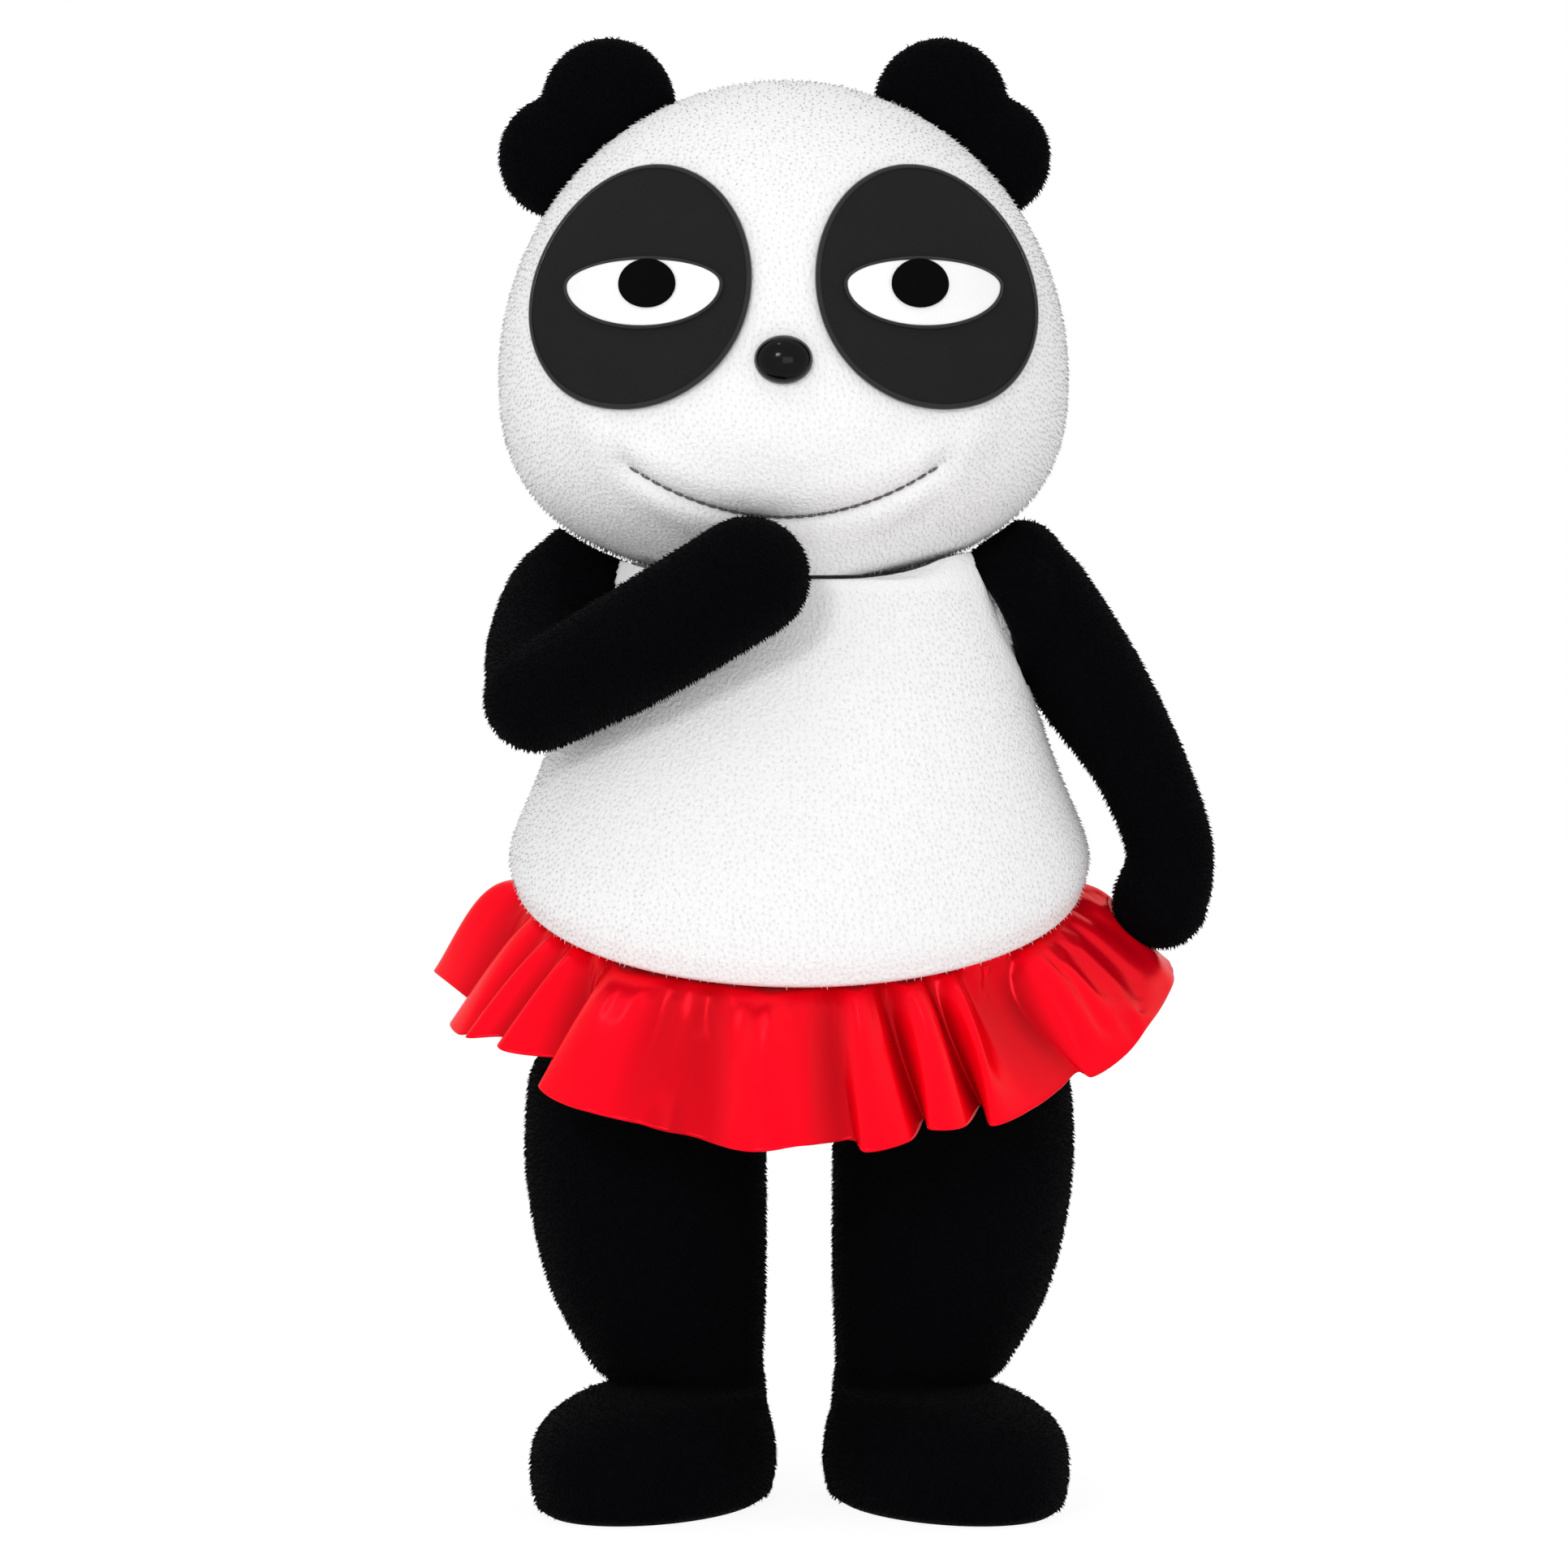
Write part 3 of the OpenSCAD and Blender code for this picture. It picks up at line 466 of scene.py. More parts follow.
def settled(piece: bpy.types.Object, body: str, nodes: tuple[str, ...] = ()) -> bpy.types.Object:
    """Puts a finished piece on its body.

    Args:
        piece: The piece, with its mesh final.
        body: The body that it moves with.
        nodes: The frame nodes that it stands for.

    Returns:
        The piece.
    """
    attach(piece, body)
    if nodes:
        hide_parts(*nodes)
    LOG.info("%s on %s: %d faces", piece.name, body, len(piece.data.polygons))
    return piece


class Board:
    """A node tree under construction."""

    def __init__(self, tree: bpy.types.NodeTree) -> None:
        """Starts on a tree."""
        self.tree = tree

    def node(self, kind: str, settings: dict | None = None, values: dict | None = None) -> bpy.types.Node:
        """Adds a node.

        Args:
            kind: The node's type.
            settings: Its own settings, which are set first.
            values: Numbers, colours or links by the name or place of the socket.

        Returns:
            The node.
        """
        made = self.tree.nodes.new(kind)
        for name, value in (settings or {}).items():
            setattr(made, name, value)
        for name, value in (values or {}).items():
            value = value.socket if isinstance(value, Wire) else value
            if isinstance(value, bpy.types.NodeSocket):
                self.tree.links.new(value, made.inputs[name])
            else:
                made.inputs[name].default_value = value
        return made

    def wire(self, kind: str, settings: dict | None = None, values: dict | None = None,
             out: str | int = 0) -> "Wire":
        """Adds a node and takes one of its outputs."""
        return Wire(self, self.node(kind, settings, values).outputs[out])


class Wire:
    """A node's output that takes part in Python expressions."""

    def __init__(self, board: Board, socket: bpy.types.NodeSocket) -> None:
        """Wraps an output of a node on the board."""
        self.board = board
        self.socket = socket

    def math(self, operation: str, first: "Wire | float", second: "Wire | float") -> "Wire":
        """One step of arithmetic as a node."""
        return self.board.wire("ShaderNodeMath", {"operation": operation}, {0: first, 1: second})

    def __add__(self, other: "Wire | float") -> "Wire":
        """The sum."""
        return self.math("ADD", self, other)

    __radd__ = __add__

    def __sub__(self, other: "Wire | float") -> "Wire":
        """The difference."""
        return self.math("SUBTRACT", self, other)

    def __rsub__(self, other: float) -> "Wire":
        """The difference from a number."""
        return self.math("SUBTRACT", other, self)

    def __mul__(self, other: "Wire | float") -> "Wire":
        """The product."""
        return self.math("MULTIPLY", self, other)

    __rmul__ = __mul__

    def blend(self, low: Colour, high: Colour) -> "Wire":
        """A colour from low, where this is 0, to high, where it is 1."""
        return self.board.wire("ShaderNodeMix", {"data_type": "RGBA"}, {0: self, 6: low, 7: high}, 2)


class Shader(Board):
    """A material under construction."""

    def __init__(self, name: str) -> None:
        """Starts an empty material."""
        self.material = bpy.data.materials.new(name)
        self.material.use_nodes = True
        self.material.node_tree.nodes.clear()
        super().__init__(self.material.node_tree)

    def place(self, stretch: tuple[float, float, float] = (1, 1, 1), uv: bool = False) -> Wire:
        """Where a point lies on its piece, or on its own map, stretched for a pattern.

        Args:
            stretch: What the place is multiplied by along each axis.
            uv: Whether it is taken from the piece's own map.

        Returns:
            The place.
        """
        out = "UV" if uv else "Object"
        spot = self.wire("ShaderNodeTexCoord", out=out)
        return self.wire("ShaderNodeMapping", values={"Vector": spot, "Scale": stretch})

    def noise(self, place: Wire, scale: float, detail: float = 2.0) -> Wire:
        """Cloudy noise from 0 to 1."""
        return self.wire("ShaderNodeTexNoise", values={"Vector": place, "Scale": scale, "Detail": detail})

    def bump(self, height: Wire, depth: float, strength: float = 1.0) -> Wire:
        """A direction that follows a height, where depth is its reach in metres."""
        values = {"Height": height, "Distance": depth, "Strength": strength}
        return self.wire("ShaderNodeBump", values=values)

    def done(self, values: dict) -> bpy.types.Material:
        """Closes the material with its surface shader.

        Args:
            values: The values or links of the shader's sockets.

        Returns:
            The material.
        """
        surface = self.wire("ShaderNodeBsdfPrincipled", values=values)
        self.node("ShaderNodeOutputMaterial", values={"Surface": surface})
        return self.material


@dataclass(frozen=True)
class Pile:
    """How the tufts of a cover stand."""

    spacing: float = 1.65
    length: float = 3.0
    width: float = 0.55
    lean: float = 0.6
    stray: float = 0.4
    flatten: float = 0.95


@dataclass(frozen=True)
class Plush:
    """Short velvety plush: a knitted backing with three tones of pile."""

    name: str
    colour: Colour
    shade: Colour
    sheen: float
    gloss: float
    pile: Pile
    cloud: float = 28.0
    fuzz: float = 620.0
    depth: float = 0.0012

    def backing(self) -> bpy.types.Material:
        """The cloth between the tufts.

        Returns:
            The new material.
        """
        paint = Shader(f"{self.name}_backing")
        spot = paint.place()
        cloud = paint.noise(spot, self.cloud, 3)
        fuzz = paint.noise(spot, self.fuzz, 2)
        return paint.done({
            "Base Color": (0.6 * fuzz + 0.4 * cloud).blend(self.shade, self.colour),
            "Roughness": 0.98 - 0.12 * fuzz, "Specular IOR Level": self.gloss,
            "Sheen Weight": self.sheen, "Sheen Roughness": 0.45,
            "Normal": paint.bump(fuzz, self.depth, 0.7)})

    def tuft(self, share: float) -> bpy.types.Material:
        """One tone of the pile, from the shade at 0 to the colour at 1.

        Args:
            share: Where the tone lies between the two.

        Returns:
            The new material.
        """
        tone = tuple(s + (c - s) * share for s, c in zip(self.shade, self.colour))
        return Shader(f"{self.name}_tuft_{round(100 * share)}").done({
            "Base Color": tone, "Roughness": 0.85, "Specular IOR Level": self.gloss,
            "Sheen Weight": self.sheen, "Sheen Roughness": 0.4})


@dataclass(frozen=True)
class Felt:
    """Pressed felt with short tangled fibres."""

    name: str
    colour: Colour
    shade: Colour
    gloss: float
    fibre: float = 900.0
    cloud: float = 60.0
    depth: float = 0.0005

    def material(self) -> bpy.types.Material:
        """Makes the felt's material.

        Returns:
            The new material.
        """
        paint = Shader(self.name)
        fibre = paint.noise(paint.place((1, 2.5, 1)), self.fibre, 3)
        cloud = paint.noise(paint.place(), self.cloud, 3)
        return paint.done({
            "Base Color": (0.7 * fibre + 0.3 * cloud).blend(self.shade, self.colour),
            "Roughness": 0.97 - 0.1 * fibre, "Specular IOR Level": self.gloss,
            "Normal": paint.bump(fibre, self.depth, 0.6)})


@dataclass(frozen=True)
class Satin:
    """Glossy satin with painted shade: its colour darkens towards the deep tone in the hollows of its folds
    and is full on their crests, as a mesh attribute gives it.
    """

    name: str
    colour: Colour
    # The painted shade: the colour of the satin in the hollows of its folds
    deep: Colour
    glint: Colour
    thread: float = 500.0
    cloud: float = 30.0
    depth: float = 0.0001
    metal: float = 0.45
    gloss: float = 0.4

    def material(self) -> bpy.types.Material:
        """Makes the satin's material.

        Returns:
            The new material.
        """
        paint = Shader(self.name)
        # Painted shade: the base colour runs from the deep tone in the hollows of the folds to the full
        # colour on their crests
        fold = paint.wire("ShaderNodeAttribute", {"attribute_name": "fold"}, out="Fac")
        thread = paint.noise(paint.place((1, 0.08, 1), uv=True), self.thread, 1)
        cloud = paint.noise(paint.place(), self.cloud, 2)
        return paint.done({
            "Base Color": (0.9 * fold + 0.06 * thread + 0.04 * cloud).blend(self.deep, self.colour),
            "Roughness": 0.22 + 0.06 * cloud, "Metallic": self.metal, "Specular IOR Level": self.gloss,
            "Specular Tint": self.glint, "Normal": paint.bump(thread, self.depth, 0.15)})


@dataclass(frozen=True)
class Thread:
    """Twisted sewing thread."""

    name: str
    colour: Colour
    shade: Colour
    twist: float = 1800.0
    depth: float = 0.0002

    def material(self) -> bpy.types.Material:
        """Makes the thread's material.

        Returns:
            The new material.
        """
        paint = Shader(self.name)
        twist = paint.noise(paint.place((1, 1, 4)), self.twist, 1)
        return paint.done({
            "Base Color": twist.blend(self.shade, self.colour), "Roughness": 0.75 - 0.2 * twist,
            "Sheen Weight": 0.15, "Normal": paint.bump(twist, self.depth, 0.5)})


@dataclass(frozen=True)
class Hard:
    """A hard finish of a fitting: board, steel or moulded plastic."""

    name: str
    colour: Colour
    shade: Colour
    roughness: float
    metal: float = 0.0
    gloss: float = 0.5
    uneven: float = 0.16
    grain: float = 240.0
    depth: float = 0.00004

    def material(self) -> bpy.types.Material:
        """Makes the fitting's material.

        Returns:
            The new material.
        """
        paint = Shader(self.name)
        cloud = paint.noise(paint.place(), self.grain, 4)
        return paint.done({
            "Base Color": cloud.blend(self.shade, self.colour), "Metallic": self.metal,
            "Roughness": (self.roughness - self.uneven / 2) + self.uneven * cloud,
            "Specular IOR Level": self.gloss, "Normal": paint.bump(cloud, self.depth, 0.4)})


class Finish(Enum):
    """The finishes of the toy."""

    WHITE_PLUSH = Plush("white_plush", grey(0.9), (0.88, 0.88, 0.885, 1), 0.03, 0.1,
                        Pile(spacing=2.3, length=2.0, width=0.36, lean=0.9, flatten=1.0))
    BLACK_PLUSH = Plush("black_plush", (0.0022, 0.0022, 0.003, 1), (0.0008, 0.0008, 0.0012, 1), 0.006, 0.03,
                        Pile(length=2.1, width=0.46, lean=0.85))
    GREY_FELT = Felt("grey_felt", grey(0.019), grey(0.011), 0.06)
    WHITE_FELT = Felt("white_felt", grey(0.93), grey(0.86), 0.2)
    BLACK_FELT = Felt("black_felt", grey(0.003), grey(0.001), 0.04)
    RED_SATIN = Satin("red_satin", (1.0, 0.0, 0.012, 1), (0.4, 0.0, 0.0035, 1), (1.0, 0.24, 0.25, 1))
    MOUTH_THREAD = Thread("mouth_thread", (0.17, 0.15, 0.15, 1), (0.07, 0.06, 0.06, 1))
    EDGE_THREAD = Thread("edge_thread", grey(0.006), grey(0.002))
    NOSE_PLASTIC = Hard("nose_plastic", grey(0.003), grey(0.0015), 0.12, grain=90, gloss=0.12)
    WASHER_PLASTIC = Hard("washer_plastic", grey(0.75), grey(0.6), 0.4)
    ELASTIC = Felt("elastic", grey(0.8), grey(0.62), 0.2)
    FIBREBOARD = Hard("fibreboard", (0.42, 0.27, 0.14, 1), (0.25, 0.15, 0.07, 1), 0.75, grain=500,
                      depth=0.0002)
    STEEL = Hard("steel", grey(0.62), grey(0.45), 0.32, metal=1.0)


class GeometryBoard(Board):
    """A geometry node tree with named inputs."""

    def __init__(self, name: str, inputs: dict[str, str]) -> None:
        """Starts the tree.

        Args:
            name: The tree's name.
            inputs: The kind of each input's socket, by the input's name.
        """
        tree = bpy.data.node_groups.new(name, "GeometryNodeTree")
        tree.interface.new_socket("Geometry", in_out="OUTPUT", socket_type="NodeSocketGeometry")
        self.keys = {}
        for title, kind in {"Geometry": "Geometry", **inputs}.items():
            socket = tree.interface.new_socket(title, in_out="INPUT", socket_type=f"NodeSocket{kind}")
            self.keys[title] = socket.identifier
        super().__init__(tree)
        self.entry = self.node("NodeGroupInput")

    def given(self, name: str) -> Wire:
        """One of the tree's inputs."""
        return Wire(self, self.entry.outputs[name])

    def attribute(self, name: str, kind: str) -> Wire:
        """A named attribute of the geometry."""
        return self.wire("GeometryNodeInputNamedAttribute", {"data_type": kind}, {"Name": name})

    def vector(self, operation: str, first: Wire, second: "Wire | tuple | float") -> Wire:
        """One step of vector arithmetic, by a number where the operation is a scaling."""
        place = "Scale" if operation == "SCALE" else 1
        return self.wire("ShaderNodeVectorMath", {"operation": operation}, {0: first, place: second})

    def ended(self, instances: Wire, material: Wire) -> Wire:
        """Makes the instances real and gives them a material.

        Args:
            instances: The tufts or the stitches.
            material: Their material.

        Returns:
            The finished geometry.
        """
        real = self.wire("GeometryNodeRealizeInstances", values={"Geometry": instances})
        smooth = self.wire("GeometryNodeSetShadeSmooth", values={"Geometry": real})
        return self.wire("GeometryNodeSetMaterial", values={"Geometry": smooth, "Material": material})

    def close(self, geometry: Wire) -> None:
        """Links the result to the tree's end."""
        self.node("NodeGroupOutput", values={"Geometry": geometry})

    def grown(self, base: bpy.types.Object, values: dict) -> bpy.types.Mesh:
        """A plain mesh of what the tree makes on a base object.

        Args:
            base: The object that carries the points or faces.
            values: The inputs' values by name.

        Returns:
            The mesh.
        """
        nodes = base.modifiers.new("grown", "NODES")
        nodes.node_group = self.tree
        for title, value in values.items():
            nodes[self.keys[title]] = value
        mesh = taken(base)
        base.modifiers.remove(nodes)
        return mesh


# The shortest and the longest tuft, as shares of the pile's length
TUFT_GROWTH = (0.55, 1.1)
# The share of the tufts that have at most this tone
TUFT_TONES = {"Middle": 0.55, "Deep": 0.18}


class PileTree(GeometryBoard):
    """Tufts of pile scattered over a cover, as many as its attribute named pile allows."""

    def __init__(self) -> None:
        """Builds the tree."""
        super().__init__("plush_pile", {
            "Spacing": "Float", "Length": "Float", "Width": "Float", "Lean": "Float", "Stray": "Float",
            "Seed": "Int", "Fair": "Material", "Middle": "Material", "Deep": "Material"})
        spots = self.node("GeometryNodeDistributePointsOnFaces", {"distribute_method": "POISSON"}, {
            "Mesh": self.given("Geometry"), "Distance Min": self.given("Spacing"), "Density Max": 1e6,
            "Density Factor": self.attribute("pile", "FLOAT"), "Seed": self.given("Seed")})
        points, normal = Wire(self, spots.outputs["Points"]), Wire(self, spots.outputs["Normal"])
        stray = self.wire("FunctionNodeRandomValue", {"data_type": "FLOAT_VECTOR"}, {
            0: (-1, -1, -1), 1: (1, 1, 1), "Seed": self.given("Seed")})
        nap = self.wire("ShaderNodeCombineXYZ", values={"Z": -1 * self.given("Lean")})
        loose = self.vector("SCALE", stray, self.given("Stray"))
        way = self.vector("ADD", self.vector("ADD", normal, nap), loose)
        turned = self.wire("FunctionNodeAlignRotationToVector", {"axis": "Z"}, {"Vector": way})
        shortest, longest = TUFT_GROWTH
        growth = self.wire("FunctionNodeRandomValue", {"data_type": "FLOAT"}, {
            2: shortest, 3: longest, "Seed": 3}, 1)
        size = self.wire("ShaderNodeCombineXYZ", values={
            "X": self.given("Width"), "Y": self.given("Width"), "Z": self.given("Length") * growth})
        tuft = self.wire("GeometryNodeMeshCone", {"fill_type": "NONE"}, {
            "Vertices": 3, "Radius Top": 0.0, "Radius Bottom": 1.0, "Depth": 1.0}, "Mesh")
        marked = self.kept(points, "lie", "FLOAT_VECTOR", normal)
        tone = self.wire("FunctionNodeRandomValue", {"data_type": "FLOAT"}, {"Seed": 8}, 1)
        marked = self.kept(marked, "tone", "FLOAT", tone)
        tufts = self.wire("GeometryNodeInstanceOnPoints", values={
            "Points": marked, "Instance": tuft, "Rotation": turned, "Scale": size})
        dressed = self.ended(tufts, self.given("Fair"))
        for name, edge in TUFT_TONES.items():
            chosen = self.wire("FunctionNodeCompare", {"data_type": "FLOAT", "operation": "LESS_THAN"}, {
                0: self.attribute("tone", "FLOAT"), 1: edge})
            dressed = self.wire("GeometryNodeSetMaterial", values={
                "Geometry": dressed, "Selection": chosen, "Material": self.given(name)})
        self.close(dressed)

    def kept(self, points: Wire, name: str, kind: str, value: Wire) -> Wire:
        """Points that carry a value by name.

        Args:
            points: The points.
            name: The value's name.
            kind: The type of its data.
            value: The value.

        Returns:
            The points with the value.
        """
        settings = {"data_type": kind, "domain": "POINT"}
        values = {"Geometry": points, "Name": name, "Value": value}
        return self.wire("GeometryNodeStoreNamedAttribute", settings, values)

    def piled(self, base: bpy.types.Object, share: np.ndarray, plush: Plush, seed: int) -> bpy.types.Object:
        """Grows the tufts of one cover.

        Args:
            base: The cover.
            share: How much pile each point of the cover has, from 0 to 1.
            plush: The finish of the tufts.
            seed: The seed of their scatter.

        Returns:
            The tufts as one object, lit as the cover is.
        """
        mark = base.data.attributes.new("pile", "FLOAT", "POINT")
        mark.data.foreach_set("value", share.astype(np.float32))
        pile = plush.pile
        mesh = self.grown(base, {
            "Spacing": pile.spacing * MM, "Length": pile.length * MM, "Width": pile.width * MM,
            "Lean": pile.lean, "Stray": pile.stray, "Seed": seed,
            "Fair": plush.tuft(1.0), "Middle": plush.tuft(0.5), "Deep": plush.tuft(0.0)})
        base.data.attributes.remove(base.data.attributes["pile"])
        lie = np.empty(len(mesh.vertices) * 3, np.float32)
        own = np.empty_like(lie)
        mesh.attributes["lie"].data.foreach_get("vector", lie)
        mesh.vertex_normals.foreach_get("vector", own)
        soft = pile.flatten * lie.reshape(-1, 3) + (1 - pile.flatten) * own.reshape(-1, 3)
        soft /= np.maximum(np.linalg.norm(soft, axis=1), TINY)[:, None]
        for name in ("lie", "tone"):
            mesh.attributes.remove(mesh.attributes[name])
        mesh.normals_split_custom_set_from_vertices(soft.tolist())
        mesh.name = f"{base.name}_pile"
        return linked(mesh.name, mesh)


class StitchTree(GeometryBoard):
    """Stitches on points that carry their direction and the way up from the cloth."""

    def __init__(self) -> None:
        """Builds the tree."""
        super().__init__("stitches", {"Length": "Float", "Width": "Float", "Thread": "Material"})
        turned = self.wire("FunctionNodeAxesToRotation", {"primary_axis": "X", "secondary_axis": "Z"}, {
            "Primary Axis": self.attribute("along", "FLOAT_VECTOR"),
            "Secondary Axis": self.attribute("up", "FLOAT_VECTOR")})
        bead = self.wire("GeometryNodeMeshUVSphere", values={
            "Segments": 6, "Rings": 5, "Radius": 0.5}, out="Mesh")
        size = self.wire("ShaderNodeCombineXYZ", values={
            "X": self.given("Length"), "Y": self.given("Width"), "Z": self.given("Width")})
        rows = self.wire("GeometryNodeInstanceOnPoints", values={
            "Points": self.given("Geometry"), "Instance": bead, "Rotation": turned, "Scale": size})
        self.close(self.ended(rows, self.given("Thread")))


@dataclass(frozen=True)
class Stitching:
    """A row of stitches of one thread."""

    length: float
    width: float
    thread: Finish

    def sewn(self, tree: StitchTree, name: str, spots: np.ndarray, along: np.ndarray,
             up: np.ndarray) -> bpy.types.Object:
        """Sews the row.

        Args:
            tree: The tree that lays the stitches.
            name: The row's name.
            spots: The middle of each stitch.
            along: The direction of each stitch.
            up: The way up from the cloth at each.

        Returns:
            The row as one object.
        """
        row = bpy.data.meshes.new("row")
        row.from_pydata((spots * MM).tolist(), [], [])
        for title, values in (("along", along), ("up", up)):
            mark = row.attributes.new(title, "FLOAT_VECTOR", "POINT")
            mark.data.foreach_set("vector", values.astype(np.float32).ravel())
        helper = linked("row", row)
        mesh = tree.grown(helper, {
            "Length": self.length * MM, "Width": self.width * MM, "Thread": self.thread.value.material()})
        dropped(helper)
        mesh.name = name
        return linked(name, mesh)


@dataclass
class Workshop:
    """The tools that all sub-assemblies share."""

    pile_tree: PileTree = field(default_factory=PileTree)
    stitch_tree: StitchTree = field(default_factory=StitchTree)
    stuffing: Stuffing = field(default_factory=Stuffing)
    backings: dict = field(default_factory=dict)

    def backing(self, finish: Finish) -> bpy.types.Material:
        """The backing of a plush, made once.

        Args:
            finish: The plush.

        Returns:
            The backing's material.
        """
        if finish not in self.backings:
            self.backings[finish] = finish.value.backing()
        return self.backings[finish]

    def covered(self, form: Form, name: str, body: str, finish: Finish, nodes: tuple[str, ...], fill: float,
                share: np.ndarray, seed: int) -> bpy.types.Object:
        """Makes a stuffed piece and its pile.

        Args:
            form: The outside of the cover.
            name: The piece's name.
            body: The body that it moves with.
            finish: Its plush.
            nodes: The frame nodes that it stands for.
            fill: How tightly it is stuffed; not used.
            share: How much pile each point has.
            seed: The seed of the pile.

        Returns:
            The stuffed piece.
        """
        piece = form.made(name, self.backing(finish))
        tufts = self.pile_tree.piled(piece, share, finish.value, seed)
        settled(piece, body, nodes)
        settled(tufts, body)
        return piece


@dataclass(frozen=True)
class Bulge:
    """A soft rise of the face, or a hollow where its height is below 0."""

    height: float
    reach: float
    up: float = 0.0

    def at(self, off: np.ndarray, share: np.ndarray | float = 1.0) -> np.ndarray:
        """Its rise at a distance from where it is measured, times a share."""
        return self.height * share * swell(off - self.up, self.reach)


# The rings of a felt shape from its back to its face: shares of the outline and of the thickness
FELT_RINGS = ((0.25, 0), (0.6, 0), (0.9, 0), (0.985, 0), (1, 0.3), (1, 0.6), (0.985, 0.88), (0.95, 1),
              (0.85, 1), (0.7, 1), (0.5, 1), (0.3, 1), (0.12, 1))


@dataclass
class Head:
    """The round stuffed head with its two-lobed ears, felt eyes, moulded nose and stitched mouth."""

    shop: Workshop
    chin_flat: float = 2.0
    cheek_up: float = 90.0
    crown_more: float = 0.7
    jaw_power: float = 2.5
    face_from: float = 0.1
    face_full: float = 0.5
    muzzle: Bulge = Bulge(5.0, 24.0, 30.0)
    muzzle_w: float = 56.0
    lip: Bulge = Bulge(2.6, 9.0, 11.0)
    crease: Bulge = Bulge(-3.6, 2.4)
    jaw: Bulge = Bulge(2.0, 6.0, -8.0)
    lip_fade: tuple[float, float] = (0.82, 1.12)
    corner: Bulge = Bulge(-2.4, 7.0)
    cheek: Bulge = Bulge(3.0, 16.0, 6.0)
    cheek_out: float = 0.6
    chin: Bulge = Bulge(10.0, 10.0, 6.0)
    chin_w: float = 46.0
    seam_w: float = 1.8
    seam_d: float = 1.4
    base_gap: float = 0.2
    sunk: float = 1.0
    grid: int = 100
    mouth_w: float = 134.0
    mouth_down: float = 64.0
    mouth_rise: float = 22.0
    mouth_sunk: float = 0.4
    mouth_end: float = 2.0
    mouth_pitch: float = 4.6
    mouth_stitch: Stitching = Stitching(5.4, 1.5, Finish.MOUTH_THREAD)
    patch_x: float = 61.0
    patch_up: float = 36.0
    patch_w: float = 93.0
    patch_h: float = 103.0
    patch_lean: float = 6.0
    patch_egg: float = 0.07
    patch_t: float = 1.8
    eye_x: float = 59.0
    eye_up: float = 36.0
    eye_w: float = 66.0
    eye_lid: float = 11.0
    eye_low: float = 18.0
    pupil_x: float = 57.0
    pupil_w: float = 24.0
    pupil_low: float = 10.0
    pupil_under: float = 0.4
    felt_t: float = 1.2
    felt_gap: float = 0.2
    felt_points: int = 144
    patch_stitch: Stitching = Stitching(3.0, 0.9, Finish.EDGE_THREAD)
    eye_stitch: Stitching = Stitching(2.0, 0.8, Finish.EDGE_THREAD)
    edge_pitch: float = 0.8
    edge_in: float = 0.04
    nose_up: float = 4.0
    nose_d: float = 10.5
    nose_round: float = 2.3
    nose_egg: float = 0.1
    nose_sunk: float = 2.0
    nose_sides: int = 64
    nose_rings: int = 16
    nose_arc: tuple[float, float] = (1.57, 0.04)
    nose_back: tuple[float, float] = (0.5, 0.9)
    ear_top_r: float = 30.5
    ear_side_r: float = 28.5
    ear_step: float = 23.0
    ear_tuck: float = 1.0
    ear_thin: float = 0.94
    ear_voxel: float = 1.5
    ear_relax: int = 3
    ear_root: float = 0.985
    bare_base: float = 1.5
    bare_nose_w: float = 12.0
    bare_nose_h: float = 10.0
    fill: float = 0.9
    ear_fill: float = 0.5
    seed: int = 11
    ear_seed: int = 21
    bare_mouth: float = 2.2

    def __post_init__(self) -> None:
        """Takes the head's place and size from the frame."""
        low, high = node_box("head_cover")
        self.middle = (low + high) / 2
        self.half_w, self.half_d = (high - low)[:2] / 2
        self.base = low[2]
        self.cheek_z = self.base - self.chin_flat + self.cheek_up
        self.crown_up = high[2] - self.cheek_z + self.crown_more
        self.centre = np.array([self.middle[0], self.middle[1], self.cheek_z])

    def share(self, z: np.ndarray) -> np.ndarray:
        """How wide the head is at a height, as a share of its full width.

        Args:
            z: The heights.

        Returns:
            The share at each height, from 0 to 1.
        """
        above = np.clip((z - self.cheek_z) / self.crown_up, 0, 1)
        below = np.clip((self.cheek_z - z) / self.cheek_up, 0, 1)
        under = np.maximum(1 - below**self.jaw_power, 0) ** (1 / self.jaw_power)
        return np.where(z > self.cheek_z, np.sqrt(1 - above**2), under)

    def reach(self, ways: np.ndarray) -> np.ndarray:
        """How far the plain head reaches from its middle at cheek level, in lengths of each direction.

        Args:
            ways: The directions.

        Returns:
            The reach in each direction.
        """
        flat = np.hypot(ways[:, 0] / self.half_w, ways[:, 1] / self.half_d)
        up = np.hypot(flat, ways[:, 2] / self.crown_up)
        tall = np.abs(ways[:, 2] / self.cheek_up)
        down = (flat**self.jaw_power + tall**self.jaw_power) ** (1 / self.jaw_power)
        return 1 / np.where(ways[:, 2] > 0, up, down)

    def facing(self, ahead: np.ndarray) -> np.ndarray:
        """How much of the face's relief shows, by how far ahead a place lies as a share of the head."""
        return ease(ahead, self.face_from, self.face_full)

    def cleared(self, points: np.ndarray, gap: float) -> np.ndarray:
        """Moves points clear of the head at every turn of the neck.

        Args:
            points: Points of another piece.
            gap: The room to leave.

        Returns:
            The points, moved where they were too near.
        """
        for turn in np.radians(np.linspace(*joint_range("neck_turn"), TURNS)):
            c, s = math.cos(turn), math.sin(turn)
            spin = np.array([[c, -s, 0], [s, c, 0], [0, 0, 1]])
            off = (points - self.centre) @ spin
            away = np.linalg.norm(off, axis=1)
            ways = off / away[:, None]
            facing = self.facing(-ways[:, 1])
            rise = np.maximum(facing * self.relief(off[:, 0], off[:, 2] + self.cheek_z), 0)
            short = np.maximum(gap + rise + self.reach(ways) - away, 0)
            points = points + (ways * short[:, None]) @ spin.T
        return points

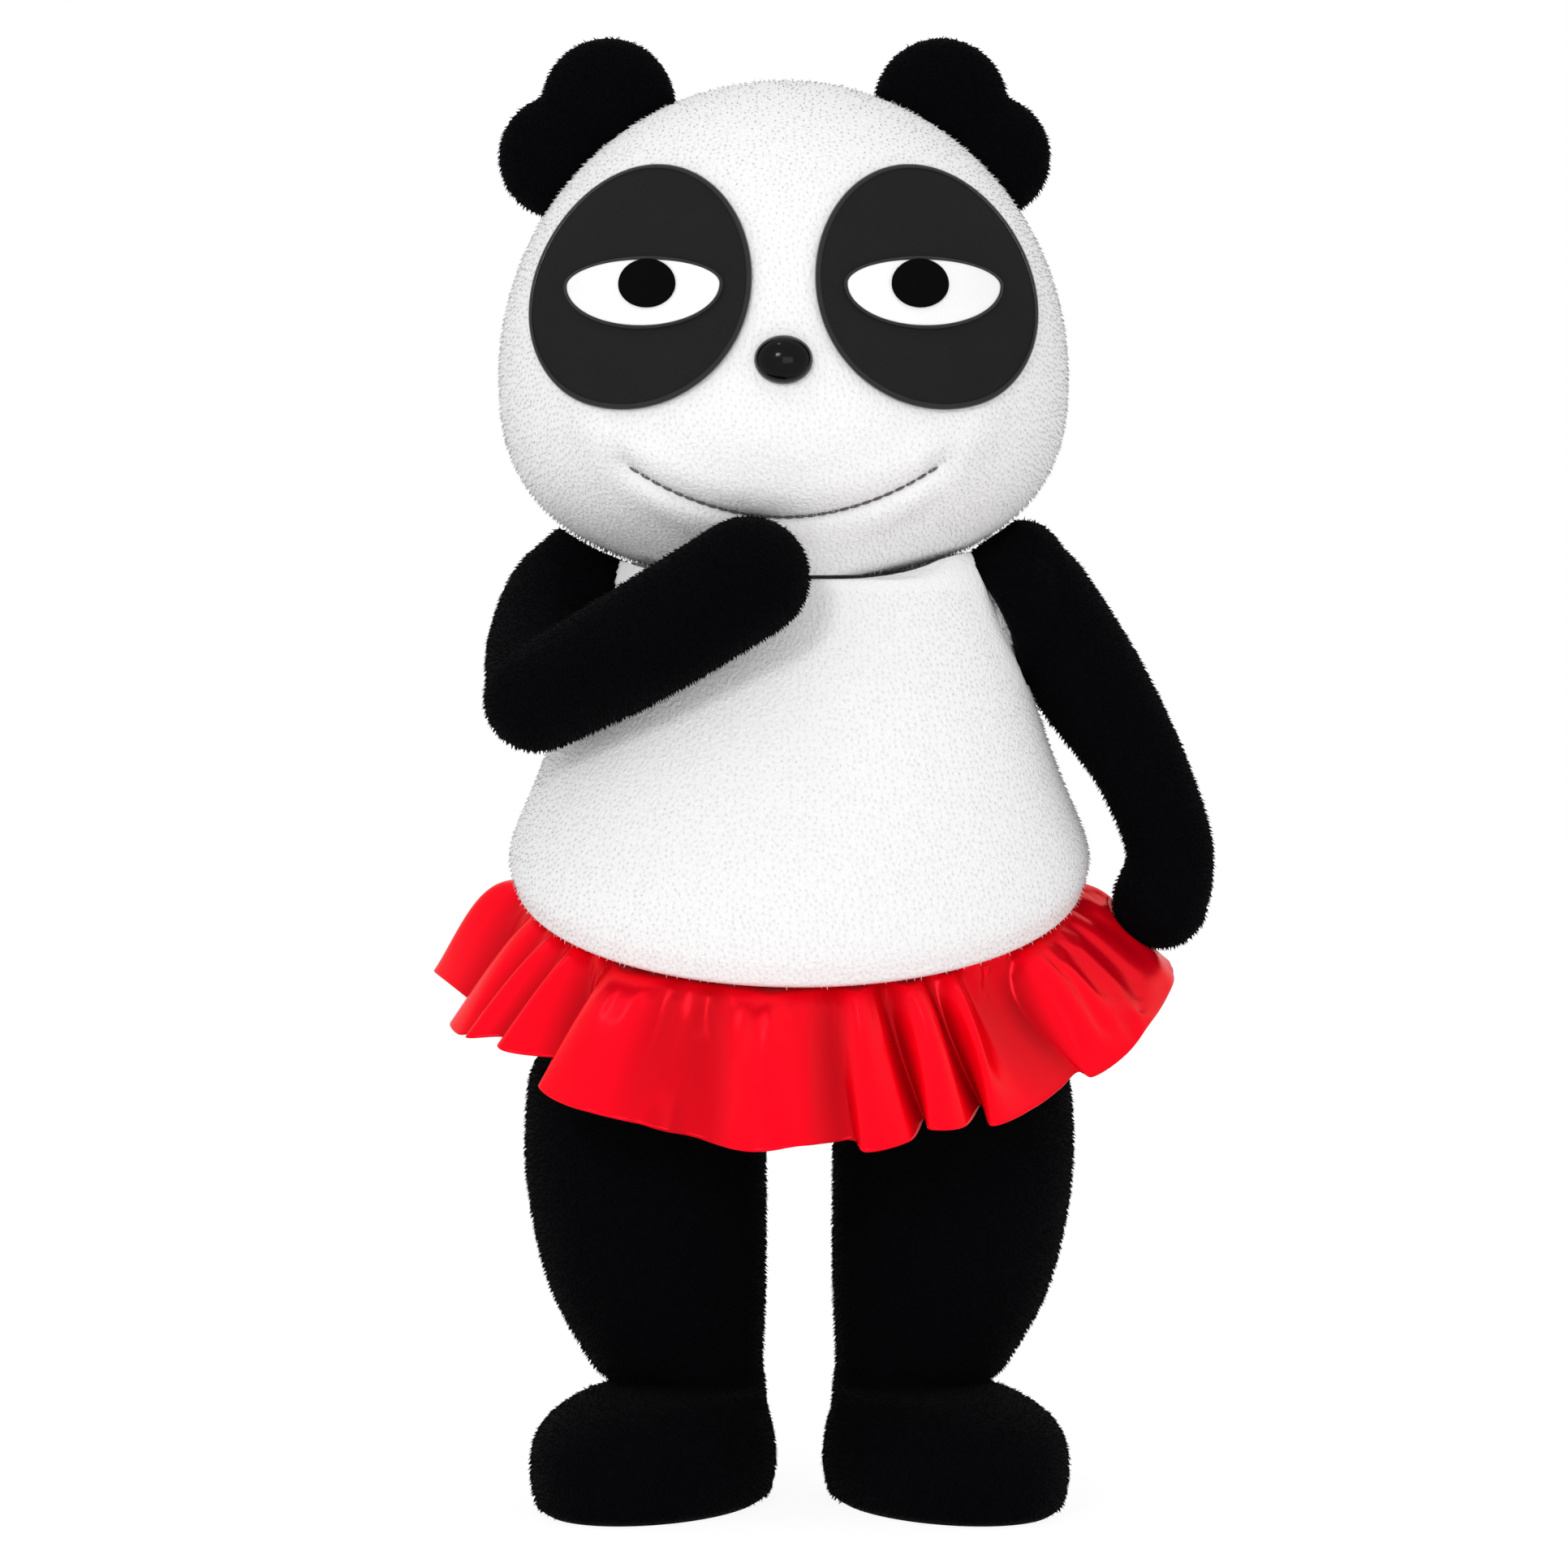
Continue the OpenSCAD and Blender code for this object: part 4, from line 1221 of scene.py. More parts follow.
    def front(self, x: np.ndarray, z: np.ndarray, lift: float | np.ndarray = 0.0) -> np.ndarray:
        """Points on the front of the head.

        Args:
            x: Across, from the head's own middle.
            z: Height.
            lift: How far off the surface.

        Returns:
            The points.
        """
        def skin(across: np.ndarray, height: np.ndarray) -> np.ndarray:
            """Points on the plain head, without its relief."""
            depth = np.sqrt(np.maximum(self.share(height) ** 2 - (across / self.half_w) ** 2, 0.001))
            return np.stack([self.middle[0] + across, self.middle[1] - self.half_d * depth, height], -1)

        x, z = np.broadcast_arrays(np.asarray(x, float), np.asarray(z, float))
        step = 0.5
        out = np.cross(skin(x + step, z) - skin(x - step, z), skin(x, z + step) - skin(x, z - step))
        out /= np.linalg.norm(out, axis=-1, keepdims=True)
        return skin(x, z) + out * (np.asarray(lift) + self.relief(x, z))[..., None]

    def mouth_z(self, x: np.ndarray) -> np.ndarray:
        """The height of the mouth's line."""
        return self.cheek_z - self.mouth_down + self.mouth_rise * (2 * x / self.mouth_w) ** 2

    def relief(self, x: np.ndarray, z: np.ndarray) -> np.ndarray:
        """How far the muzzle swells and the mouth is drawn in, on the front of the head.

        Args:
            x: Across, from the head's own middle.
            z: Height.

        Returns:
            The relief, positive outwards.
        """
        off = z - self.mouth_z(x)
        wide = 2 * np.abs(x) / self.mouth_w
        line = 1 - ease(wide, *self.lip_fade)
        muzzle = self.muzzle.at(z - self.mouth_z(0 * x), swell(x, self.muzzle_w))
        lip, crease, jaw = (bulge.at(off) * line for bulge in (self.lip, self.crease, self.jaw))
        corner = self.corner.at(np.hypot(np.abs(x) - self.mouth_w / 2, off))
        apple = np.hypot(np.abs(x) - self.cheek_out * self.mouth_w, off - self.cheek.up)
        cheek = self.cheek.height * swell(apple, self.cheek.reach)
        chin = self.chin.at(z - self.base, swell(x, self.chin_w))
        return muzzle + lip + crease + jaw + corner + cheek + chin

    def form(self) -> Form:
        """The head's skin, finely divided.

        Returns:
            The skin.
        """
        steps = np.tan(np.linspace(-1, 1, self.grid + 1) * math.pi / 4)
        u, v = np.meshgrid(steps, steps, indexing="ij")
        one = np.ones_like(u)
        sides = [(one, u, v), (-one, v, u), (v, one, u), (u, -one, v), (u, v, one), (v, u, -one)]
        ways = np.concatenate([np.stack(s, -1).reshape(-1, 3) for s in sides])
        ways, places = np.unique(np.round(ways, 9), axis=0, return_inverse=True)
        places = places.reshape(6, self.grid + 1, self.grid + 1)
        quads = np.stack([places[:, :-1, :-1], places[:, 1:, :-1], places[:, 1:, 1:], places[:, :-1, 1:]], -1)
        form = Form(self.centre + ways * self.reach(ways)[:, None], quads.reshape(-1, 4)).outward()
        out = form.normals()
        facing = self.facing(-(form.points[:, 1] - self.middle[1]) / self.half_d)
        across = form.points[:, 0] - self.middle[0]
        rise = facing * self.relief(across, form.points[:, 2]) - self.sunk
        seam = swell(across, self.seam_w) * (form.points[:, 1] > self.middle[1])
        form.points += out * (rise - self.seam_d * seam)[:, None]
        form.points[:, 2] = np.maximum(form.points[:, 2], self.base + self.base_gap)
        return form

    def patch(self, turn: np.ndarray, side: int) -> np.ndarray:
        """The outline of an eye patch round its middle.

        Args:
            turn: The angles round it, in radians.
            side: The sign of its side.

        Returns:
            The place across and up at each angle.
        """
        wide = self.patch_w / 2 * np.cos(turn) * (1 - self.patch_egg * np.sin(turn))
        x = wide - self.patch_lean * np.sin(turn)
        return np.stack([side * x, self.patch_h / 2 * np.sin(turn)], -1)

    @staticmethod
    def oval(turn: np.ndarray, width: float, lid: float, low: float) -> np.ndarray:
        """An oval with a rise of its own above and below its middle."""
        rise = np.sin(turn)
        return np.stack([width / 2 * np.cos(turn), np.where(rise > 0, lid, low) * rise], -1)

    def pile_share(self, form: Form) -> np.ndarray:
        """Where the head has pile: not under the felt or the nose, in the mouth or at the neck.

        Args:
            form: The head's skin.

        Returns:
            The share of pile at each point, 0 or 1.
        """
        x, y, _ = (form.points - self.middle).T
        z = form.points[:, 2]
        share = np.where(z < self.base + self.bare_base, 0.0, 1.0)
        front = y < 0
        for side in SIDES.values():
            off_x, off_z = x - side * self.patch_x, z - self.cheek_z - self.patch_up
            lean = side * off_x + self.patch_lean * off_z / (self.patch_h / 2)
            wide = self.patch_w / 2 * (1 - self.patch_egg * off_z / (self.patch_h / 2))
            inside = np.hypot(lean / wide, off_z / (self.patch_h / 2)) < 1
            share[front & inside] = 0
        nose_z = z - self.cheek_z - self.nose_up
        share[front & (np.hypot(x / self.bare_nose_w, nose_z / self.bare_nose_h) < 1)] = 0
        mouth = (np.abs(z - self.mouth_z(x)) < self.bare_mouth) & (np.abs(x) < self.mouth_w / 2)
        share[front & mouth] = 0
        return share

    def felt(self, name: str, middle: tuple[float, float], outline: np.ndarray, low: float, thick: float,
             finish: Finish) -> bpy.types.Object:
        """Makes a felt shape that lies on the face.

        Args:
            name: The piece's name, which is also its node's.
            middle: Its middle, across and up.
            outline: Its outline round the middle.
            low: How far its back is off the head.
            thick: How thick it is.
            finish: Its felt.

        Returns:
            The piece.
        """
        rings = []
        for share, high in FELT_RINGS:
            x, z = (outline * share + middle).T
            rings.append(self.front(x, z + self.cheek_z, low + thick * high))
        piece = Form.loft(np.array(rings)).made(name, finish.value.material())
        return settled(piece, "head", (name,))

    def edging(self, name: str, middle: tuple[float, float], outline: np.ndarray, lift: float,
               stitch: Stitching) -> bpy.types.Object:
        """Sews a close row of stitches round a felt shape.

        Args:
            name: The row's name.
            middle: The middle of the shape, across and up.
            outline: Its outline round the middle.
            lift: How far the row is off the head.
            stitch: The stitches.

        Returns:
            The row.
        """
        closed = np.concatenate([outline, outline[:1]])
        run = np.concatenate([[0], np.cumsum(np.linalg.norm(np.diff(closed, axis=0), axis=1))])
        places = np.linspace(0, run[-1], int(run[-1] / (self.edge_pitch * stitch.width)), endpoint=False)
        edge = np.stack([np.interp(places, run, closed[:, k]) for k in range(2)], -1) + middle
        inner = edge + (np.array(middle) - edge) * self.edge_in
        spots = self.front(edge[:, 0], edge[:, 1] + self.cheek_z, lift)
        across = self.front(inner[:, 0], inner[:, 1] + self.cheek_z, lift) - spots
        up = self.front(edge[:, 0], edge[:, 1] + self.cheek_z, lift + 1) - spots
        row = stitch.sewn(self.shop.stitch_tree, name, spots, across, up)
        return settled(row, "head")

    def eye(self, side_name: str, side: int) -> None:
        """Builds one eye: patch, white, pupil and the edges of the first two.

        Args:
            side_name: The name of its side.
            side: The sign of its side.
        """
        turn = np.linspace(0, 2 * math.pi, self.felt_points, endpoint=False)
        patch = self.patch(turn, side)
        patch_at = (side * self.patch_x, self.patch_up)
        white = self.oval(turn, self.eye_w, self.eye_lid, self.eye_low)
        white_at = (side * self.eye_x, self.eye_up)
        pupil = self.oval(turn, self.pupil_w, self.eye_lid - self.pupil_under, self.pupil_low)
        pupil_at = (side * self.pupil_x, self.eye_up)
        low = self.felt_gap
        eye_low = low + self.patch_t
        pupil_low = eye_low + self.felt_t
        self.felt(f"{side_name}_eye_patch", patch_at, patch, low, self.patch_t, Finish.GREY_FELT)
        self.felt(f"{side_name}_eye_white", white_at, white, eye_low, self.felt_t, Finish.WHITE_FELT)
        self.felt(f"{side_name}_pupil", pupil_at, pupil, pupil_low, self.felt_t, Finish.BLACK_FELT)
        self.edging(f"{side_name}_patch_edge", patch_at, patch, eye_low, self.patch_stitch)
        self.edging(f"{side_name}_eye_edge", white_at, white, pupil_low, self.eye_stitch)

    def nose(self) -> None:
        """Builds the domed nose."""
        low, high = node_box("nose")
        half_w, _, half_h = (high - low) / 2
        face = self.front(np.zeros(1), np.array([self.cheek_z + self.nose_up]))[0]
        turn = np.linspace(0, 2 * math.pi, self.nose_sides, endpoint=False)
        dome = np.sin(np.linspace(*self.nose_arc, self.nose_rings))
        domed = -self.nose_d * np.maximum(1 - dome**self.nose_round, 0) ** (1 / self.nose_round)
        shares = np.concatenate([self.nose_back, dome])
        ahead = np.concatenate([[self.nose_sunk, self.nose_sunk], domed])
        rings = []
        for share, y in zip(shares, ahead):
            x = share * half_w * np.cos(turn) * (1 + self.nose_egg * np.sin(turn))
            z = share * half_h * (np.sin(turn) - self.nose_egg * np.cos(turn) ** 2)
            rings.append(face + np.stack([x, np.full_like(x, y), z], -1))
        piece = Form.loft(np.array(rings)).made("nose_button", Finish.NOSE_PLASTIC.value.material())
        settled(piece, "head", ("nose",))

    def mouth(self) -> None:
        """Sews the mouth along its crease."""
        reach = self.mouth_w / 2 - self.mouth_end
        x = np.linspace(-reach, reach, int(2 * reach / self.mouth_pitch))
        spots = self.front(x, self.mouth_z(x), -self.mouth_sunk)
        along = np.gradient(spots, axis=0)
        up = self.front(x, self.mouth_z(x), 1 - self.mouth_sunk) - spots
        row = self.mouth_stitch.sewn(self.shop.stitch_tree, "mouth_seam", spots, along, up)
        settled(row, "head", ("mouth_stitch",))

    def ear(self, name: str, side: int, seed: int) -> None:
        """Builds one ear of two lobes grown together.

        Args:
            name: The ear's node.
            side: The sign of its side.
            seed: The seed of its pile.
        """
        low, high = node_box(name)
        thick = (high - low)[1] / 2
        top_r, side_r = self.ear_top_r, self.ear_side_r
        y = (low + high)[1] / 2
        inner_x = high[0] if side < 0 else low[0]
        outer_x = low[0] if side < 0 else high[0]
        top = np.array([inner_x + side * (top_r - self.ear_tuck), y, high[2] - top_r])
        outer = np.array([outer_x - side * side_r, y, high[2] - top_r - self.ear_step])
        lobes = Form.ball(top, np.array([top_r, thick, top_r]) - self.sunk).joined(
            Form.ball(outer, np.array([side_r, self.ear_thin * thick, side_r]) - self.sunk))
        form = lobes.fused(self.ear_voxel, self.ear_relax)
        across = (form.points - self.centre) / [self.half_w, self.half_d, self.crown_up]
        share = ease(np.linalg.norm(across, axis=1), self.ear_root, 1.0)
        self.shop.covered(form, f"{name}_lobes", "head", Finish.BLACK_PLUSH, (name,), self.ear_fill,
                          share, seed)

    def build(self) -> None:
        """Builds the head with all that is sewn to it."""
        form = self.form()
        self.shop.covered(form, "head_stuffed", "head", Finish.WHITE_PLUSH, ("head_cover", "head_filling"),
                          self.fill, self.pile_share(form), self.seed)
        for order, (name, side) in enumerate(SIDES.items()):
            self.eye(name, side)
            self.ear(f"{name}_ear", side, self.ear_seed + order)
        self.nose()
        self.mouth()


@dataclass
class Seat:
    """A shoulder seat across a joint's axis: the torso's boss, and the arm's rim that turns round it."""

    joint: str
    gap: float = 0.3
    boss_r: float = 21.0
    hollow_r: float = 24.0
    rim_r: float = 33.0
    clear_r: float = 42.0
    rim_h: float = 8.0
    rim_gap: float = 1.0
    boss_d: float = 30.0
    bare_up: float = 1.5
    bare_down: float = 20.0

    def __post_init__(self) -> None:
        """Takes the seat from the frame's joint."""
        self.middle, self.axis = joint_line(self.joint)

    def measured(self, points: np.ndarray) -> tuple[np.ndarray, np.ndarray]:
        """How far points are above the seat, and off its axis.

        Args:
            points: The points.

        Returns:
            The height of each point along the axis, and its distance from it.
        """
        off = points - self.middle
        above = off @ self.axis
        return above, np.linalg.norm(off - above[:, None] * self.axis, axis=1)

    def flattened(self, points: np.ndarray) -> np.ndarray:
        """Points of the torso, drawn up to the boss and kept below the arm's rim round it.

        Args:
            points: The torso's points.

        Returns:
            The points, moved along the axis where they had to be.
        """
        above, off = self.measured(points)
        under = -self.rim_h - self.rim_gap + self.clear_r * ease(off, self.rim_r, self.clear_r)
        ceiling = np.where(off < self.boss_r, -self.gap, under)
        cut = np.maximum(above - ceiling, 0) * (off < self.clear_r)
        drawn = np.maximum(-self.gap - above, 0) * (off < self.boss_r) * (above > -self.boss_d)
        return points + np.outer(drawn - cut, self.axis)

    def trimmed(self, points: np.ndarray) -> np.ndarray:
        """Points of the arm, kept above the boss and above the foot of the rim round it.

        Args:
            points: The arm's points.

        Returns:
            The points, moved along the axis where they had to be.
        """
        above, off = self.measured(points)
        floor = np.where(off < self.hollow_r, self.gap, -self.rim_h)
        return points + np.outer(np.maximum(floor - above, 0) * (off < self.clear_r), self.axis)

    def turned(self, points: np.ndarray, turn: float) -> np.ndarray:
        """Points turned about the joint's axis.

        Args:
            points: The points.
            turn: The angle in radians.

        Returns:
            The points after the turn.
        """
        off = points - self.middle
        along = np.outer(off @ self.axis, self.axis)
        swung = (off - along) * math.cos(turn)
        return self.middle + along + swung + np.cross(self.axis, off) * math.sin(turn)

    def bare(self, points: np.ndarray, reach: float) -> np.ndarray:
        """Whether points are too near the seat for pile.

        Args:
            points: The points.
            reach: How far from the axis the pile is left out.

        Returns:
            True for each point without pile.
        """
        above, off = self.measured(points)
        high = self.bare_up - self.rim_h * (off > self.hollow_r)
        return (above < high) & (above > -self.bare_down) & (off < reach)


@dataclass
class Torso:
    """The pear-shaped torso with its waist drawn in under a full belly."""

    shop: Workshop
    head: Head
    height: float = 203.0
    belly_up: float = 72.0
    belly_w: float = 256.0
    belly_d: float = 188.0
    belly_fwd: float = 6.0
    waist_share: float = 0.7
    fill: float = 0.9
    seed: int = 31
    waist_w: float = 224.0
    waist_d: float = 160.0
    waist_up: float = 57.0
    waist_fall: float = 0.45
    back_share: float = 0.35
    groove: float = 7.5
    seat_w: float = 214.0
    seat_d: float = 146.0
    chest_w: float = 200.0
    chest_d: float = 148.0
    shoulder_w: float = 182.0
    neck_w: float = 112.0
    neck_d: float = 92.0
    collar: float = 13.0
    bib: float = 1.0
    soft: float = 2.0
    bib_from: float = 18.0
    bib_full: float = 52.0
    dip_soft: float = 25.0
    base_gap: float = 0.2
    seam_w: float = 1.8
    seam_d: float = 1.6
    head_gap: float = 2.0
    held_band: tuple[float, float] = (4.0, 20.0)
    held_top: tuple[float, float] = (26.0, 12.0)
    held_base: tuple[float, float] = (4.0, 14.0)
    held_seam: float = 3.0
    held_arm: tuple[float, float] = (42.0, 54.0)
    bare_band: float = 5.0
    bare_top: float = 6.0
    bare_arm: float = 38.0
    sunk: float = 1.0
    sides: int = 200
    rings: int = 180

    def __post_init__(self) -> None:
        """Takes the torso's height from the frame."""
        self.low_z = node_box("torso_cover")[0][2]
        self.waist_z = self.low_z + self.waist_up
        self.waist_fwd = self.waist_share * self.belly_fwd

    def rows(self) -> list:
        """Height, half width, half depth, forward offset and fall at each station.

        Returns:
            One row for each station.
        """
        low, high = self.waist_up - self.groove, self.waist_up + self.groove
        rest = self.height - self.belly_up
        wide, deep, ahead, fall = self.belly_w, self.belly_d, self.belly_fwd, self.waist_fall
        waist = (self.waist_w / 2, self.waist_d / 2, self.waist_fwd, fall)
        return [
            (0, self.seat_w / 2, self.seat_d / 2, 0, 0),
            (0.6 * low, 0.27 * self.seat_w + 0.25 * self.waist_w, 0.27 * self.seat_d + 0.25 * self.waist_d,
             ahead / 3, 0.6 * fall),
            (low, *waist),
            (high, *waist),
            (high + 2.5, 0.482 * wide, 0.478 * deep, ahead, fall),
            (high + 7.5, 0.498 * wide, 0.498 * deep, ahead, 0.97 * fall),
            (self.belly_up + 14, 0.5 * wide, 0.5 * deep, ahead, 0.88 * fall),
            (self.belly_up + 0.38 * rest, 0.445 * wide, 0.46 * deep, 0.8 * ahead, 0.5 * fall),
            (self.belly_up + 0.7 * rest, self.chest_w / 2, self.chest_d / 2, 0.4 * ahead, 0.15 * fall),
            (self.belly_up + 0.92 * rest, self.shoulder_w / 2, 0.3 * self.neck_d + 0.25 * self.chest_d, 0, 0),
            (self.height + 4, 0.47 * self.shoulder_w, 0.65 * self.neck_d, 0, 0),
            (self.height + self.collar, 0.42 * self.shoulder_w, 0.59 * self.neck_d, 0, 0),
            (self.height + 0.7 * self.collar, 0.36 * self.shoulder_w, 0.54 * self.neck_d, 0, 0),
            (self.height - 0.2, self.neck_w / 2, self.neck_d / 2, 0, 0)]

    def dip(self, y: np.ndarray) -> np.ndarray:
        """The depth that the waist falls by: full in front of the middle and slight behind it."""
        return y * (1 - (1 - self.back_share) * ease(y, -self.dip_soft, self.dip_soft))

    def band_z(self, y: np.ndarray) -> np.ndarray:
        """The height of the middle of the waist's groove."""
        return self.waist_z + self.waist_fall * self.dip(y + self.waist_fwd)

    def held(self, points: np.ndarray) -> np.ndarray:
        """How firmly the waistband, the joints and the back seam hold the cover.

        Args:
            points: The cover's points.

        Returns:
            The hold at each point, from 0 to 1.
        """
        x, y, z = points.T
        top_z = self.low_z + self.height
        band = 1 - ease(np.abs(z - self.band_z(y)), *(self.groove + more for more in self.held_band))
        top = ease(z, *(top_z - down for down in self.held_top))
        base = 1 - ease(z, *(self.low_z + up for up in self.held_base))
        firm = np.maximum.reduce([band, top, base, swell(x, self.held_seam) * (y > 0)])
        for side in SIDES:
            off = Seat(f"{side}_shoulder").measured(points)[1]
            firm = np.maximum(firm, 1 - ease(off, *self.held_arm))
        return firm

    def form(self) -> Form:
        """The torso's skin, with a flat seat for each arm.

        Returns:
            The skin.
        """
        rows = self.rows()
        line = smooth_rows(rows, np.linspace(0, len(rows) - 1, self.rings))
        turn = np.linspace(0, 2 * math.pi, self.sides, endpoint=False)
        up, half_w, half_d, ahead, fall = (line[:, k : k + 1] for k in range(5))
        y = (half_d - self.sunk) * np.sin(turn)
        x = (half_w - self.sunk) * np.cos(turn)
        rim = self.height + self.collar - (self.collar + self.bib) * ease(-y, self.bib_from, self.bib_full)
        under = np.exp((rim - up - fall * self.dip(y)) / self.soft)
        z = self.low_z + np.maximum(rim - self.soft * np.log1p(under), self.base_gap)
        form = Form.loft(np.stack([x, y - ahead, z], -1))
        seam = swell(form.points[:, 0], self.seam_w) * (form.points[:, 1] > 0)
        form.points[:, 1] -= self.seam_d * seam
        form = self.shop.stuffing.filled(form, self.held(form.points))
        high = form.points[:, 2] > self.low_z + self.belly_up
        form.points[high] = self.head.cleared(form.points[high], self.head_gap)
        for side in SIDES:
            form.points = Seat(f"{side}_shoulder").flattened(form.points)
        return form

    def build(self) -> None:
        """Builds the stuffed torso."""
        form = self.form()
        _, y, z = form.points.T
        low = z < self.band_z(y) + self.groove + self.bare_band
        high = z > self.low_z + self.height - self.bare_top
        share = np.where(low | high, 0.0, 1.0)
        for side in SIDES:
            share[Seat(f"{side}_shoulder").bare(form.points, self.bare_arm)] = 0
        self.shop.covered(form, "torso_stuffed", "torso", Finish.WHITE_PLUSH,
                          ("torso_cover", "torso_filling", "pellet_pouch"), self.fill, share, self.seed)


@dataclass
class Arm:
    """A stuffed arm on a flat shoulder seat."""

    shop: Workshop
    side: str
    limbs: list
    nodes: tuple[str, ...]
    head: Head
    seed: int
    sunk: float = 1.0
    voxel: float = 1.8
    relax: int = 4
    sides: int = 56
    rings: int = 40
    steps: int = 60
    head_gap: float = 1.5
    cap_r: float = 31.0
    cap_out: float = 2.0
    held: tuple[float, float] = (8.0, 30.0)
    bare: float = 40.0
    fill: float = 0.85

    def cleared(self, points: np.ndarray, gap: float) -> np.ndarray:
        """Moves points clear of the arm's round limbs.

        Args:
            points: Points of another piece.
            gap: The room to leave.

        Returns:
            The points, moved where they were too near.
        """
        for rows in self.limbs:
            line = smooth_rows(rows, np.linspace(0, len(rows) - 1, self.steps))
            off = points[:, None] - line[:, :3]
            away = np.linalg.norm(off, axis=2)
            nearest = np.argmin(away - line[:, 3], axis=1)
            pick = np.arange(len(points))
            short = np.maximum(gap + line[nearest, 3] - away[pick, nearest], 0)
            points = points + off[pick, nearest] / away[pick, nearest, None] * short[:, None]
        return points

    def freed(self, seat: Seat, points: np.ndarray) -> np.ndarray:
        """Moves the arm's points clear of the head at every turn of the shoulder.

        Args:
            seat: The arm's shoulder.
            points: The arm's points.

        Returns:
            The points, moved where they were too near.
        """
        for turn in np.radians(np.linspace(*joint_range(seat.joint), TURNS)):
            points = seat.turned(self.head.cleared(seat.turned(points, turn), self.head_gap), -turn)
        return points

    def build(self) -> None:
        """Builds the arm from its limbs, grown together."""
        seat = Seat(f"{self.side}_shoulder")
        whole = Form.ball(seat.middle + self.cap_out * seat.axis, np.full(3, self.cap_r))
        for rows in self.limbs:
            slim = [(x, y, z, r - self.sunk) for x, y, z, r in rows]
            whole = whole.joined(Form.limb(slim, self.sides, self.rings))
        skin = whole.fused(self.voxel, self.relax)
        skin = self.shop.stuffing.filled(skin, 1 - ease(seat.measured(skin.points)[0], *self.held))
        skin.points = self.freed(seat, seat.trimmed(skin.points))
        share = np.where(seat.bare(skin.points, self.bare), 0.0, 1.0)
        self.shop.covered(skin, f"{self.side}_arm_stuffed", f"{self.side}_arm", Finish.BLACK_PLUSH,
                          self.nodes, self.fill, share, self.seed)


